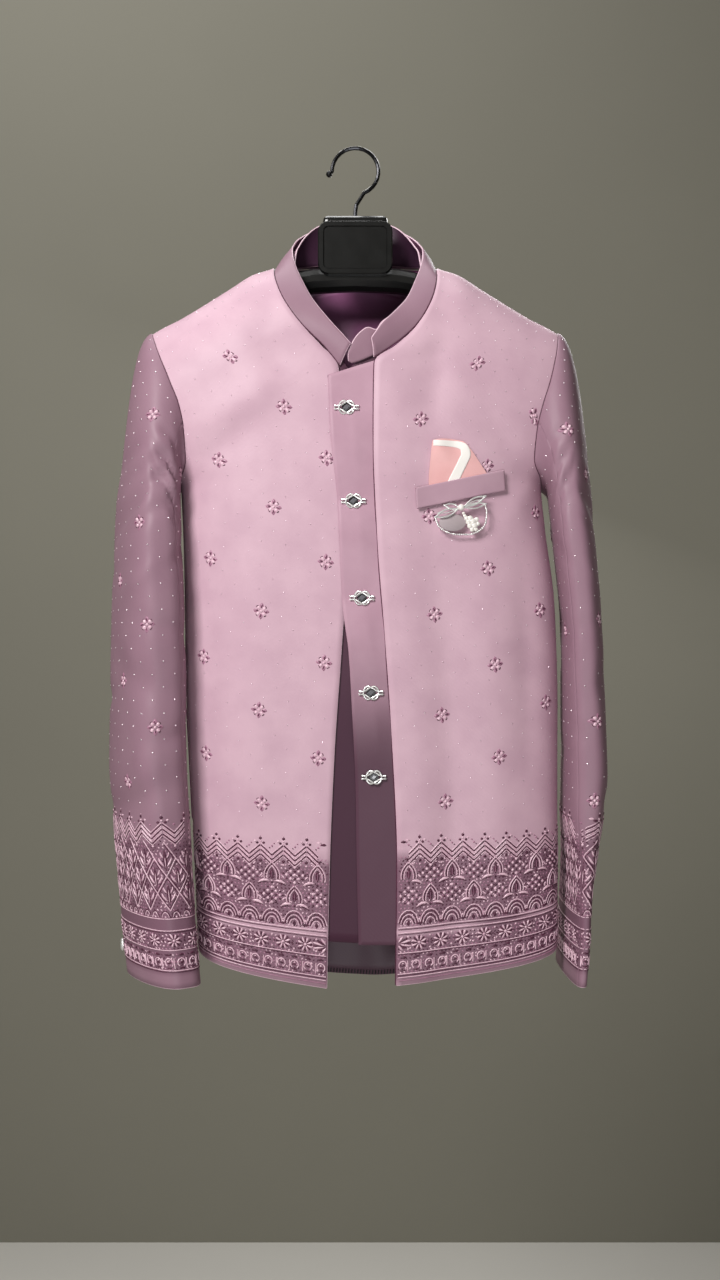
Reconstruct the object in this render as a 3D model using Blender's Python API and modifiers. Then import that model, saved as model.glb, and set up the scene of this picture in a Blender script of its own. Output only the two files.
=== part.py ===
"""An indo-western sherwani: a short embroidered jacket over an attached buttoned front, on a suit hanger.

The origin is the inside of the hook's top, where a rod would carry it. The jacket faces -Y, its wearer's left
is +X and +Z is up. Tables are in millimetres and everything built is in metres. Every cloth piece is a closed wall
worked out from the same body, collar and sleeve forms, so that pieces meet 0.3 mm apart at their seams.
"""
import math

import bmesh
import bpy
import numpy as np

MM = 0.001
CLOTH = 1.5 * MM
COLLAR_CLOTH = 1.8 * MM
LINING = 1.0 * MM
SEAM_GAP = 0.3 * MM
ARMHOLE_GAP = 0.45 * MM
ROUNDNESS = 2.8

# The body's sections: its middle and half width across, and its depth before and behind the side seams.
BODY_COLUMNS = ("height", "middle", "half_width", "seam_y", "front", "back")
BODY = (
    (-100, 0, 262, 0, 64, 52),
    (-200, 0, 260, 0, 67, 56),
    (-275, 2, 243, 0, 71, 61),
    (-335, 5, 203, 0, 74, 65),
    (-360, 6, 189, 0, 75, 65),
    (-400, 9, 190, 0, 75, 64),
    (-480, 15, 194, -1, 73, 59),
    (-560, 17, 195, -2, 69, 53),
    (-640, 19, 193, -3, 64, 47),
    (-760, 22, 190, -5, 56, 39),
    (-900, 25, 187, -7, 46, 31),
)

# The shoulder line's height at each distance from the middle, and how far below it the cloth has turned down.
SHOULDER_COLUMNS = ("across", "height")
SHOULDER = (
    (0, -96), (40, -104), (70, -117), (86, -127), (106, -133), (131, -148),
    (161, -166), (182, -178), (204, -189), (214, -195), (240, -212),
)
FRONT_TURN = 90 * MM
BACK_TURN = 45 * MM

# The armhole and side seam on either side: across is None below the armpit, where the edge is the side seam.
SEAM_COLUMNS = ("row", "across", "height")
RIGHT_SIDE = (
    (0, -214, -195), (1, -201, -229), (2, -189, -254), (3, -179, -278), (4, -174, -304), (5, -173, -333),
    (6, -183, -360), (7, None, -420), (8, None, -500), (9, None, -580), (10, None, -660), (11, None, -750),
    (12, None, -838),
)
LEFT_SIDE = (
    (0, 213, -195), (1, 206, -229), (2, 199, -254), (3, 191, -278), (4, 185, -304), (5, 183, -333),
    (6, 195, -360), (7, None, -420), (8, None, -500), (9, None, -580), (10, None, -660), (11, None, -750),
    (12, None, -836),
)
ARMPIT_ROW = 6
# Rows between which the panels' level lines fade out, and rows that still follow the shoulder line.
LEVEL_ROWS = (6, 10)
SHOULDER_ROWS = 2.5
LEAN_POWER = 6
# How far round the columns lean at the armpit's row and the rows below it, in degrees.
SIDE_TURNS = (71, 79, 85, 89, 90, 90, 90)
LAST_ROW = 12
# Where the panels' rows lie. The sleeves take their own places round the armhole from the rows down to the armpit.
ROWS = (0, 0.25, 0.6, 1.1, 1.8, 2.5, 3.1, 3.8, 4.5, 5, 5.45, 5.8, 6, 6.7, 7.5, 8.3, 9.2, 10.1, 11.1, 12)
SLEEVE_SEAM_ROW = 3.8

# The neck seam and front edge of each outer front, row by row with the side.
RIGHT_EDGE = (
    (0, -86, -127), (1, -84, -143), (2, -77, -165), (3, -65, -186), (4, -50, -205), (5, -34, -222),
    (6, -17, -244), (7, -13, -330), (8, -8, -430), (9, -14, -530), (10, -21, -630), (11, -26, -745),
    (12, -29, -872),
)
LEFT_EDGE = (
    (0, 86, -127), (1, 85, -143), (2, 82, -162), (3, 74, -183), (4, 60, -204), (5, 41, -222),
    (6, 20, -240), (7, 19, -320), (8, 23, -420), (9, 30, -510), (10, 37, -610), (11, 43, -745),
    (12, 42, -868),
)
# The back's middle line from the neck seam to the hem, and the neck seam from the shoulder to that line.
BACK_MIDDLE = (
    (0, 0, -114), (1, 0, -144), (2, 0, -178), (3, 0, -214), (4, 0, -256), (5, 1, -304),
    (6, 5, -352), (7, 9, -420), (8, 14, -505), (9, 17, -595), (10, 18, -685), (11, 19, -780),
    (12, 19, -877),
)
BACK_NECK = ((0, -114), (30, -115), (55, -118), (76, -122.5), (86, -127))

# The attached inner fronts meet on the placket's middle line and end above the hem.
INNER_EDGE = (
    (0, 0, -127), (1, 0, -143), (2, 0, -165), (3, 0, -186), (4, 0, -205), (5, 0, -222),
    (6, -6, -247), (7, -2, -330), (8, 4, -430), (9, 12, -530), (10, 19, -630), (11, 23, -740),
    (12, 24, -827),
)
INNER_DEPTH = 2.5 * MM
INNER_REACH = 0.55
INNER_FIRST_ROW = 1.1
# In table millimetres: how far the inner fronts stand off the neck seam and the middle line, and their side hem.
INNER_NECK_OUT = 1.5
INNER_PARTING = 0.6
INNER_SIDE_HEM = -813
LINING_REACH = 0.62
LINING_DEPTH = 3.1 * MM
# The lining's soft pleats: radius and spread across, where they start and how deep they are.
PLEAT_PITCH = 9 * MM
PLEAT_SPREAD = 38 * MM
PLEAT_TOP = -150 * MM
PLEAT_RAMP = 60 * MM
PLEAT_STAND = 2.5 * MM
PLEAT_DEPTH = 2.2 * MM

# The placket's two edges.
PLACKET_COLUMNS = ("height", "left", "right")
PLACKET = (
    (-243, -27, 24), (-310, -24, 26), (-380, -17, 28), (-483, -12, 36), (-530, -6, 40), (-580, -3, 44),
    (-670, 1, 50), (-740, 2, 51), (-827, 4, 50),
)
PLACKET_TOP_RISE = 16 * MM
PLACKET_TOP_DROP = 9 * MM
PLACKET_TOP_FADE = 90 * MM
PLACKET_OUT = 0.4 * MM
OVERLAP_OUT = 4.6 * MM
OVERLAP_FLAT = 8 * MM
OVERLAP_FADE = 45 * MM
OVERLAP_TOP = -200 * MM
OVERLAP_RAMP = 35 * MM

# The outer collar's stations from the front to the back's middle: its top edge, standing on the neck seam.
COLLAR_COLUMNS = ("base_x", "base_z", "top_x", "top_y", "top_z")
RIGHT_COLLAR = (
    (-17, -244, -5, -73, -220), (-34, -222, -18, -70, -205), (-50, -205, -32, -65, -188),
    (-65, -186, -45, -56, -169), (-77, -165, -55, -43, -148), (-84, -143, -63, -26, -127),
    (-86, -127, -67, -6, -107), (-76, -122.5, -65, 16, -93), (-55, -118, -53, 35, -79),
    (-30, -115, -31, 47, -68), (0, -114, 0, 51, -63),
)
LEFT_COLLAR = (
    (20, -237, 17, -78, -216), (41, -222, 27, -75, -201), (60, -204, 41, -67, -186),
    (74, -183, 54, -57, -169), (82, -162, 62, -44, -149), (85, -143, 69, -27, -128),
    (86, -127, 72, -6, -108), (76, -122.5, 67, 16, -93), (55, -118, 54, 35, -79),
    (30, -115, 31, 47, -68), (0, -114, 0, 51, -63),
)
# How many of each side's stations stand on the back.
BACK_STATIONS = 5
# The inner collar stands inside the outer one and ends in a rounded tab past the middle.
STATION_COLUMNS = ("base_x", "base_y", "base_z", "top_x", "top_y", "top_z")
COLLAR_TAB = (
    (12, -69.5, -234, 13, -70.5, -204), (3, -69.5, -237.5, 5, -70.5, -209), (-3, -69.5, -239, -2, -70.5, -218),
    (-6.5, -69.5, -237.5, -6.5, -70.5, -228),
)
INNER_COLLAR_BASE_IN = 3.9 * MM
INNER_COLLAR_TOP_IN = 6.5 * MM
INNER_COLLAR_RISE = 2 * MM
COLLAR_STATIONS = 37
COLLAR_ROWS = 5
COLLAR_BELLY = 1.5 * MM
INNER_COLLAR_BELLY = 0.8 * MM
COLLAR_LIFT = 0.7 * MM
COLLAR_END_LIFT = 2.9 * MM
COLLAR_END_STATIONS = 4

# The sleeves' sections: middle, half length of the long axis, half thickness and turn towards the front middle.
SLEEVE_COLUMNS = ("height", "x", "y", "long", "short", "turn")
RIGHT_SLEEVE = (
    (-372, -218, -8, 76, 31, 17), (-420, -218.5, -10, 77, 32, 19), (-480, -218, -12, 77, 33, 21),
    (-560, -217.5, -14, 74, 34, 23), (-640, -217.5, -16, 71, 34, 25), (-700, -214, -18, 67, 33, 27),
    (-760, -209, -21, 63, 31, 29), (-820, -204, -25, 59, 29, 32), (-866, -199, -28, 57, 28, 34),
)
LEFT_SLEEVE = (
    (-372, 226, -6, 74, 23, 8), (-420, 230, -8, 76, 22, 7), (-497, 236.5, -8, 76, 21, 6),
    (-600, 239, -8, 74, 22, 4), (-666, 240, -8, 71, 22.5, 3), (-700, 237.5, -8, 69, 20, 2),
    (-740, 235, -8, 67, 14, 0), (-770, 232, -8, 66, 10.5, -1), (-830, 229, -8, 66, 9, -2),
    (-866, 226.5, -8, 66, 8.5, -2),
)
SLEEVE_TOP = -372 * MM
SLEEVE_END = -866 * MM
HEAD_REACH = 21 * MM
HEAD_DROP = 0.46
HEAD_ROWS = 7
ARM_ROWS = 15
SEAM_TURN_GAP = 0.35
SECTION_BLUNTNESS = 0.65

# Sleeve folds: height of the middle at the front, slope round the arm, half width, depth, and where it is deepest.
FOLD_COLUMNS = ("height", "slope", "half_width", "depth", "round", "spread")
SLEEVE_FOLDS = (
    (-372, 0.55, 15, 7, 55, 55), (-345, 0.40, 10, 4, 60, 40), (-560, -0.30, 18, 4, 60, 45),
    (-680, 0.30, 14, 4, 40, 50),
)

BUTTON_HEIGHTS = (-285, -379, -476, -571, -656)
BUTTON_ACROSS = (-8.5, -1.5, 7, 16, 19)
BUTTON_WIRE = 1.9 * MM
BUTTON_LOOP = (8.2 * MM, 5.0 * MM)
BUTTON_SHIFT = 4.4 * MM
BUTTON_LIFT = 0.9 * MM
BUTTON_WEAVE = 0.8 * MM
BUTTON_STEPS = 16
# The plain cuff buttons: radius, thickness, height and how far round each sleeve, in degrees.
CUFF_BUTTON = (6.5 * MM, 3 * MM, -838 * MM)
CUFF_BUTTON_TURNS = {"right": 318, "left": 300}
CUFF_BUTTON_OUT = 0.6 * MM

# The breast welt: its two ends, bottom and top.
WELT = ((62, -386.5, 61, -366.5), (152, -367, 150.5, -347))
SQUARE_OUT = 1.2 * MM
SQUARE_TUCK = -340 * MM
SQUARE_PLEAT = 1.2 * MM
WELT_OUT = 2.9 * MM
# The pocket square: bottom and top heights at each place across.
SQUARE_COLUMNS = ("across", "bottom", "top")
SQUARE = (
    (74, -368, -352), (78, -368, -318), (92, -365, -316.5), (108, -361, -319), (118, -359, -329),
    (127, -357, -342), (134, -356, -352),
)
BROOCH_AT = (106, -386)
BROOCH_OUT = 0.9 * MM
# Each wing of its bow: half length, half height and lift of the tip; its ring: half width, half height and middle.
BROOCH_BOW = (13.5 * MM, 7.5 * MM, 5 * MM)
BROOCH_WIRE = 1.9 * MM
BROOCH_RING = (14.5 * MM, 12.5 * MM, -15 * MM)
BROOCH_RING_WIRE = 1.5 * MM
PEARL = 4.2 * MM

HOOK_WIRE = 2.1 * MM
HOOK_RADIUS = 24.6 * MM
HOOK_TIP = 3.4 * MM
NECK_TOP = -72 * MM
NECK_HALF = (34 * MM, 12 * MM)
# The hanger's arms: distance from the middle, top, half depth, height of the section and forward bow.
ARM_COLUMNS = ("across", "top", "half_depth", "height", "bow")
ARM = ((0, -124, 14, 26, 0), (45, -126, 14, 26, 0), (86, -136, 14, 25, 0), (106, -140, 15, 25, -1),
       (131, -153, 16, 25, -2), (161, -171, 17, 25, -3), (182, -183, 18, 24, -3), (196, -190.5, 17, 21, -3),
       (202, -196, 11, 10, -3))
PLATE = (39 * MM, 28 * MM, 5 * MM)
PLATE_MIDDLE = -108 * MM
PLATE_BACK = -13.9 * MM
PLATE_CORNER = 11 * MM

LOOKS = {
    "outer": ((0.62, 0.42, 0.52), 0.45, 0.0),
    "inner": ((0.40, 0.27, 0.36), 0.5, 0.0),
    "lining": ((0.10, 0.045, 0.08), 0.5, 0.0),
    "square": ((0.72, 0.40, 0.40), 0.6, 0.0),
    "silver": ((0.80, 0.80, 0.80), 0.25, 1.0),
    "hanger": ((0.012, 0.012, 0.014), 0.35, 0.0),
    "hook": ((0.05, 0.05, 0.055), 0.3, 1.0),
}


def clear_scene():
    for obj in list(bpy.data.objects):
        bpy.data.objects.remove(obj, do_unlink=True)


def collection(name):
    made = bpy.data.collections.new(name)
    bpy.context.scene.collection.children.link(made)
    return made


def regroup(obj, group):
    for holder in list(obj.users_collection):
        holder.objects.unlink(obj)
    group.objects.link(obj)


def material(name):
    made = bpy.data.materials.get(name)
    if made:
        return made
    colour, roughness, metallic = LOOKS[name]
    made = bpy.data.materials.new(name)
    made.use_nodes = True
    shader = made.node_tree.nodes["Principled BSDF"]
    shader.inputs["Base Color"].default_value = (*colour, 1)
    shader.inputs["Roughness"].default_value = roughness
    shader.inputs["Metallic"].default_value = metallic
    return made


def smooth_curve(keys, values):
    """A monotone cubic through the rows of a table."""
    order = np.argsort(keys)
    key = np.array(keys, float)[order]
    value = np.array(values, float)[order]
    step = np.diff(key)
    slope = np.diff(value) / step
    tangent = np.zeros(len(key))
    tangent[0], tangent[-1] = slope[0], slope[-1]
    for i in range(1, len(key) - 1):
        if slope[i - 1] * slope[i] > 0:
            before = 2 * step[i] + step[i - 1]
            after = step[i] + 2 * step[i - 1]
            tangent[i] = (before + after) / (before / slope[i - 1] + after / slope[i])

    def at(place):
        place = np.clip(place, key[0], key[-1])
        i = np.clip(np.searchsorted(key, place) - 1, 0, len(key) - 2)
        s = (place - key[i]) / step[i]
        rise = (1 + 2 * s) * (1 - s) ** 2 * value[i] + s * s * (3 - 2 * s) * value[i + 1]
        return rise + step[i] * (s * (1 - s) ** 2 * tangent[i] - s * s * (1 - s) * tangent[i + 1])

    return at


def profile(table, columns, key, name, unit=MM):
    """One column of a table in metres as a smooth function of another, in metres too or in rows with unit 1."""
    rows = [row for row in table if row[columns.index(name)] is not None]
    keys = [row[columns.index(key)] * unit for row in rows]
    return smooth_curve(keys, [row[columns.index(name)] * MM for row in rows])


def by_number(table, columns, name):
    """A column in metres as a smooth function of its place in the table."""
    return smooth_curve(range(len(table)), [row[columns.index(name)] * MM for row in table])


MIDDLE = profile(BODY, BODY_COLUMNS, "height", "middle")
HALF_WIDTH = profile(BODY, BODY_COLUMNS, "height", "half_width")
SEAM_Y = profile(BODY, BODY_COLUMNS, "height", "seam_y")
FRONT_DEPTH = profile(BODY, BODY_COLUMNS, "height", "front")
BACK_DEPTH = profile(BODY, BODY_COLUMNS, "height", "back")
SHOULDER_HEIGHT = profile(SHOULDER, SHOULDER_COLUMNS, "across", "height")


def body_y(x, z, front):
    """The body's surface before or behind a place, turned over the shoulder line and round the sides."""
    side = np.clip(np.abs(x - MIDDLE(z)) / HALF_WIDTH(z), 0, 1)
    share = (1 - side ** ROUNDNESS) ** (1 / ROUNDNESS)
    drop = np.maximum(SHOULDER_HEIGHT(np.abs(x)) - z, 0)
    turned = np.clip(drop / (FRONT_TURN if front else BACK_TURN), 0, 1)
    over = np.sqrt(1 - (1 - turned) ** 2)
    if front:
        return SEAM_Y(z) - SEAM_GAP / 2 - FRONT_DEPTH(z) * over * share
    return SEAM_Y(z) + SEAM_GAP / 2 + BACK_DEPTH(z) * over * share


def side_angle(x, z):
    return np.arcsin(np.clip((x - MIDDLE(z)) / HALF_WIDTH(z), -1, 1))


def panel_grid(edge, side, rows, shares, front):
    """Points of a body panel: rows run from its inner edge to its armhole or side seam."""
    edge_x = profile(edge, SEAM_COLUMNS, "row", "across", 1)
    edge_z = profile(edge, SEAM_COLUMNS, "row", "height", 1)
    side_z = profile(side, SEAM_COLUMNS, "row", "height", 1)
    armhole_x = profile(side, SEAM_COLUMNS, "row", "across", 1)
    row = np.asarray(rows, float)[:, None]
    share = np.asarray(shares, float)[None, :]
    start = side_angle(edge_x(row), edge_z(row))
    side_seam = math.copysign(math.pi / 2, side[0][1])
    end = np.where(row < ARMPIT_ROW, side_angle(armhole_x(row), side_z(row)), side_seam)
    # The columns lean over gently by the armpit, and only the last of them reach right round to the side seam.
    above = [float(side_angle(armhole_x(r), side_z(r))) for r in range(ARMPIT_ROW)]
    below = [math.copysign(math.radians(turned), side[0][1]) for turned in SIDE_TURNS]
    lean = smooth_curve(range(len(above) + len(below)), above + below)(row)
    turn = start + (lean - start) * share + (end - lean) * share ** LEAN_POWER
    # Rows by the armpit run level into the side, and the hem rises evenly, with no point at the back's middle.
    hem = share if front else share ** 1.5
    level = hem + (np.sin(share * math.pi / 2) - hem) * np.clip((LEVEL_ROWS[1] - row) / np.ptp(LEVEL_ROWS), 0, 1)
    z = edge_z(row) + (side_z(row) - edge_z(row)) * level
    x = MIDDLE(z) + HALF_WIDTH(z) * np.sin(turn)
    # The top rows follow the shoulder line, or the back's neck seam and then the shoulder line.
    top = SHOULDER_HEIGHT(np.abs(x)) if front else back_top(np.abs(x))
    straight = edge_z(row * 0) + (side_z(row * 0) - edge_z(row * 0)) * level
    z = z + (top - straight) * np.clip(1 - row / SHOULDER_ROWS, 0, 1) ** 1.5
    return np.stack([x, body_y(x, z, front), z], axis=-1)


def back_top(across):
    neck = profile(BACK_NECK, SHOULDER_COLUMNS, "across", "height")
    return np.where(across < BACK_NECK[-1][0] * MM, neck(across), SHOULDER_HEIGHT(across))


def grid_normals(points, towards):
    """Unit normals of a grid of points, on the side where a direction or a set of them points."""
    across = np.gradient(points, axis=1)
    down = np.gradient(points, axis=0)
    normal = np.cross(across, down)
    normal /= np.maximum(np.linalg.norm(normal, axis=-1, keepdims=True), 1e-12)
    facing = np.sum(normal * np.asarray(towards, float), axis=-1, keepdims=True)
    return np.where(facing < 0, -normal, normal)


def finish(mesh, name, look, group):
    mesh.materials.append(material(look))
    obj = bpy.data.objects.new(name, mesh)
    group.objects.link(obj)
    mesh.shade_smooth()
    mesh.set_sharp_from_angle(angle=math.radians(50))
    return obj


def wall(name, outer, normals, thickness, look, group):
    """A closed wall between a grid of outer points and the same grid moved in."""
    rows, cols = outer.shape[:2]
    inner = outer - normals * thickness
    points = np.concatenate([outer.reshape(-1, 3), inner.reshape(-1, 3)])
    place = np.arange(rows * cols).reshape(rows, cols)
    back = place + rows * cols
    faces = []
    for i in range(rows - 1):
        for j in range(cols - 1):
            faces.append((place[i, j], place[i, j + 1], place[i + 1, j + 1], place[i + 1, j]))
            faces.append((back[i, j], back[i + 1, j], back[i + 1, j + 1], back[i, j + 1]))
    border = [place[0, j] for j in range(cols - 1)] + [place[i, -1] for i in range(rows - 1)]
    border += [place[-1, j] for j in range(cols - 1, 0, -1)] + [place[i, 0] for i in range(rows - 1, 0, -1)]
    for k, corner in enumerate(border):
        after = border[(k + 1) % len(border)]
        faces.append((after, corner, corner + rows * cols, after + rows * cols))
    mesh = bpy.data.meshes.new(name)
    mesh.from_pydata(points.tolist(), [], [tuple(int(v) for v in face) for face in faces])
    rounded = bmesh.new()
    rounded.from_mesh(mesh)
    bmesh.ops.recalc_face_normals(rounded, faces=rounded.faces)
    rounded.to_mesh(mesh)
    rounded.free()
    return finish(mesh, name, look, group)


def rows_from(first):
    return np.array([row for row in ROWS if row >= first], float)


def panel_shares(count):
    """Column places, closer towards the side, where the body turns."""
    even = np.linspace(0, 1, count)
    return even + 0.10 * np.sin(math.pi * even)


def panel_normals(points, rows, front, sign):
    """Panel normals, with the shoulder's and side's rims square to their seams."""
    normal = grid_normals(points, (0, -1 if front else 1, 0.3))
    slope = np.gradient(points[0], axis=0)
    ridge = np.stack([-slope[:, 2] * np.sign(slope[:, 0]), 0 * slope[:, 1], np.abs(slope[:, 0])], axis=-1)
    ridge /= np.linalg.norm(ridge, axis=-1, keepdims=True)
    shoulder = np.abs(points[0][:, 0]) > BACK_NECK[-1][0] * MM - 1 * MM
    normal[0][shoulder] = ridge[shoulder]
    below = rows >= ARMPIT_ROW - 1e-6
    normal[below, -1] = (sign, 0, 0)
    return normal


def overlap_out(points):
    """How far the left front's edge stands out where it lies over the placket."""
    edge = profile(LEFT_EDGE, SEAM_COLUMNS, "height", "across")
    right = profile(PLACKET, PLACKET_COLUMNS, "height", "right")
    beyond = points[..., 0] - np.maximum(right(points[..., 2]), edge(points[..., 2])) - OVERLAP_FLAT
    fade = np.clip(1 - beyond / OVERLAP_FADE, 0, 1)
    below_neck = np.clip((OVERLAP_TOP - points[..., 2]) / OVERLAP_RAMP, 0, 1)
    return OVERLAP_OUT * fade * fade * (3 - 2 * fade) * below_neck


def outer_fronts(group):
    rows = rows_from(0)
    shares = panel_shares(13)
    right = panel_grid(RIGHT_EDGE, RIGHT_SIDE, rows, shares, True)
    wall("outer_front_right", right, panel_normals(right, rows, True, -1), CLOTH, "outer", group)
    left = panel_grid(LEFT_EDGE, LEFT_SIDE, rows, shares, True)
    left[..., 1] -= overlap_out(left)
    wall("outer_front_left", left, panel_normals(left, rows, True, 1), CLOTH, "outer", group)


def outer_back(group):
    rows = rows_from(0)
    shares = panel_shares(10)
    halves = []
    normals = []
    for side, sign in ((RIGHT_SIDE, -1), (LEFT_SIDE, 1)):
        half = panel_grid(BACK_MIDDLE, side, rows, shares, False)
        halves.append(half)
        normals.append(panel_normals(half, rows, False, sign))
    points = np.concatenate([halves[0][:, :0:-1], halves[1]], axis=1)
    normal = np.concatenate([normals[0][:, :0:-1], normals[1]], axis=1)
    middle = shares.size - 1
    normal[:, middle] = normals[0][:, 0] + normals[1][:, 0]
    normal[:, middle] /= np.linalg.norm(normal[:, middle], axis=-1, keepdims=True)
    wall("outer_back", points, normal, CLOTH, "outer", group)


def inner_fronts(group):
    """The plain fronts under the jacket: they hang inside it from the neck seam and meet under the placket."""
    rows = rows_from(INNER_FIRST_ROW)
    reach = np.linspace(0, INNER_REACH, 7)
    for name, side, sign, neck in (
        ("inner_front_right", RIGHT_SIDE, -1, RIGHT_EDGE), ("inner_front_left", LEFT_SIDE, 1, LEFT_EDGE),
    ):
        edge = []
        for (row, x, z), (_, neck_x, neck_z) in zip(INNER_EDGE, neck):
            if row < ARMPIT_ROW:
                edge.append((row, neck_x + sign * INNER_NECK_OUT, neck_z))
            else:
                edge.append((row, x + sign * INNER_PARTING, z))
        side_rows = [(row, x, INNER_SIDE_HEM if row == LAST_ROW else z) for row, x, z in side]
        points = panel_grid(edge, side_rows, rows, reach, True)
        normal = grid_normals(points, (0, -1, 0.3))
        points = points - normal * INNER_DEPTH
        wall(name, points, normal, LINING, "inner", group)


def placket(group):
    left = profile(PLACKET, PLACKET_COLUMNS, "height", "left")
    right = profile(PLACKET, PLACKET_COLUMNS, "height", "right")
    heights = np.linspace(PLACKET[0][0] * MM, PLACKET[-1][0] * MM, 22)[:, None]
    share = np.linspace(0, 1, 5)[None, :]
    x = left(heights) + (right(heights) - left(heights)) * share
    by_top = np.clip(1 - (PLACKET[0][0] * MM - heights) / PLACKET_TOP_FADE, 0, 1)
    z = heights + (PLACKET_TOP_RISE * share - PLACKET_TOP_DROP) * by_top
    y = body_y(x, z, True) - PLACKET_OUT - CLOTH
    points = np.stack([x, y, z], axis=-1)
    wall("inner_placket", points, grid_normals(points, (0, -1, 0)), CLOTH, "inner", group)


def loft_stations(stations, columns, count):
    """Smooth base and top lines through a collar's stations."""
    place = np.linspace(0, len(stations) - 1, count)
    base = [by_number(stations, columns, f"base_{axis}")(place) for axis in "xyz"]
    top = [by_number(stations, columns, f"top_{axis}")(place) for axis in "xyz"]
    return np.stack(base, axis=-1), np.stack(top, axis=-1)


def strip(base, top, rows, belly):
    """A collar's points between its base and top lines, standing a little proud between them."""
    share = np.linspace(0, 1, rows)[:, None, None]
    out = base + 0.0
    out[:, 2] = 0
    out[:, 1] -= 5 * MM
    out /= np.maximum(np.linalg.norm(out, axis=-1, keepdims=True), 1e-9)
    return top[None] + (base - top)[None] * share + out[None] * belly * np.sin(math.pi * share)


def outer_collar_stations():
    """The outer collar's stations from the right front round the back to the left front, base on the neck seam."""
    stations = []
    order = list(RIGHT_COLLAR) + list(LEFT_COLLAR[-2::-1])
    turn = len(RIGHT_COLLAR)
    for number, row in enumerate(order):
        station = dict(zip(COLLAR_COLUMNS, row))
        front = min(number, len(order) - 1 - number) <= turn - BACK_STATIONS
        x, z = np.array(station["base_x"] * MM), np.array(station["base_z"] * MM)
        y = float(body_y(x, z, front))
        if number > turn:
            y -= float(overlap_out(np.array([x, 0, z])))
        station["base_y"] = y / MM
        stations.append([station[name] for name in STATION_COLUMNS])
    return stations


def collar_points():
    """The outer collar's base, lifted off the neck seam, and its top, with its normals at both."""
    base, top = loft_stations(outer_collar_stations(), STATION_COLUMNS, COLLAR_STATIONS)
    lift = top - base
    lift /= np.linalg.norm(lift, axis=-1, keepdims=True)
    inwards = -base * np.array([1, 1, 0])
    inwards /= np.maximum(np.linalg.norm(inwards, axis=-1, keepdims=True), 1e-9)
    from_end = np.minimum(np.arange(len(base)), np.arange(len(base))[::-1])[:, None]
    raised = COLLAR_LIFT + (COLLAR_END_LIFT - COLLAR_LIFT) * np.clip(1 - from_end / COLLAR_END_STATIONS, 0, 1)
    return base + lift * raised + inwards * COLLAR_LIFT, top


def collar_normals(points):
    return grid_normals(points, points * np.array([1, 1, 0]) + np.array([0, 0.004, 0]))


def outer_collar(group):
    base, top = collar_points()
    points = strip(base, top, COLLAR_ROWS, COLLAR_BELLY)
    wall("outer_collar", points, collar_normals(points), COLLAR_CLOTH, "outer", group)


def inner_collar(group):
    base, top = collar_points()
    normal = collar_normals(strip(base, top, COLLAR_ROWS, COLLAR_BELLY))
    base = base - normal[-1] * INNER_COLLAR_BASE_IN
    top = top - normal[0] * INNER_COLLAR_TOP_IN + np.array([0, 0, INNER_COLLAR_RISE])
    tab = np.array(COLLAR_TAB, float) * MM
    base = np.concatenate([base[1:-1], tab[:, :3]])
    top = np.concatenate([top[1:-1], tab[:, 3:]])
    points = strip(base, top, COLLAR_ROWS, INNER_COLLAR_BELLY)
    wall("inner_collar", points, collar_normals(points), CLOTH, "inner", group)


def back_lining(group):
    """The lining of the back, with soft pleats down its middle, seen in the neck and below the inner fronts."""
    rows = rows_from(0.6)
    reach = np.linspace(0, LINING_REACH, 10)
    halves = []
    for side in (RIGHT_SIDE, LEFT_SIDE):
        halves.append(panel_grid(BACK_MIDDLE, side, rows, reach, False))
    points = np.concatenate([halves[0][:, :0:-1], halves[1]], axis=1)
    normal = grid_normals(points, (0, 1, 0.3))
    x = points[..., 0] - MIDDLE(points[..., 2])
    pleat = np.cos(x / PLEAT_PITCH) * np.exp(-(x / PLEAT_SPREAD) ** 2)
    fall = np.clip((PLEAT_TOP - points[..., 2]) / PLEAT_RAMP, 0, 1) * np.clip(1.6 + points[..., 2] / 0.6, 0.35, 1)
    points = points - normal * LINING_DEPTH
    points[..., 1] -= (PLEAT_STAND + PLEAT_DEPTH * pleat) * fall
    wall("back_lining", points, grid_normals(points, (0, 1, 0.3)), LINING, "lining", group)


def armhole(side_table, front, share):
    """The armhole from the shoulder's tip (0) to the armpit (1) along a panel's edge."""
    edge = (RIGHT_EDGE if side_table is RIGHT_SIDE else LEFT_EDGE) if front else BACK_MIDDLE
    rows = np.asarray(share) * ARMPIT_ROW
    return panel_grid(edge, side_table, rows, [1.0], front)[:, 0]


def sleeve_ring(table, height, angle):
    """A point round a sleeve's section: 0 is outward, 90 the front, 180 the body's side and 270 the back."""
    inward = 1 if table[0][1] < 0 else -1
    size = {name: profile(table, SLEEVE_COLUMNS, "height", name)(height) for name in SLEEVE_COLUMNS[1:5]}
    turn = np.radians(profile(table, SLEEVE_COLUMNS, "height", "turn")(height) / MM)
    along = size["long"] * np.sin(angle)
    out = size["short"] * np.sign(np.cos(angle)) * np.abs(np.cos(angle)) ** SECTION_BLUNTNESS
    x = size["x"] + inward * (along * np.sin(turn) - out * np.cos(turn))
    y = size["y"] - along * np.cos(turn) - out * np.sin(turn)
    return np.stack(np.broadcast_arrays(x, y, height), axis=-1)


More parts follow.
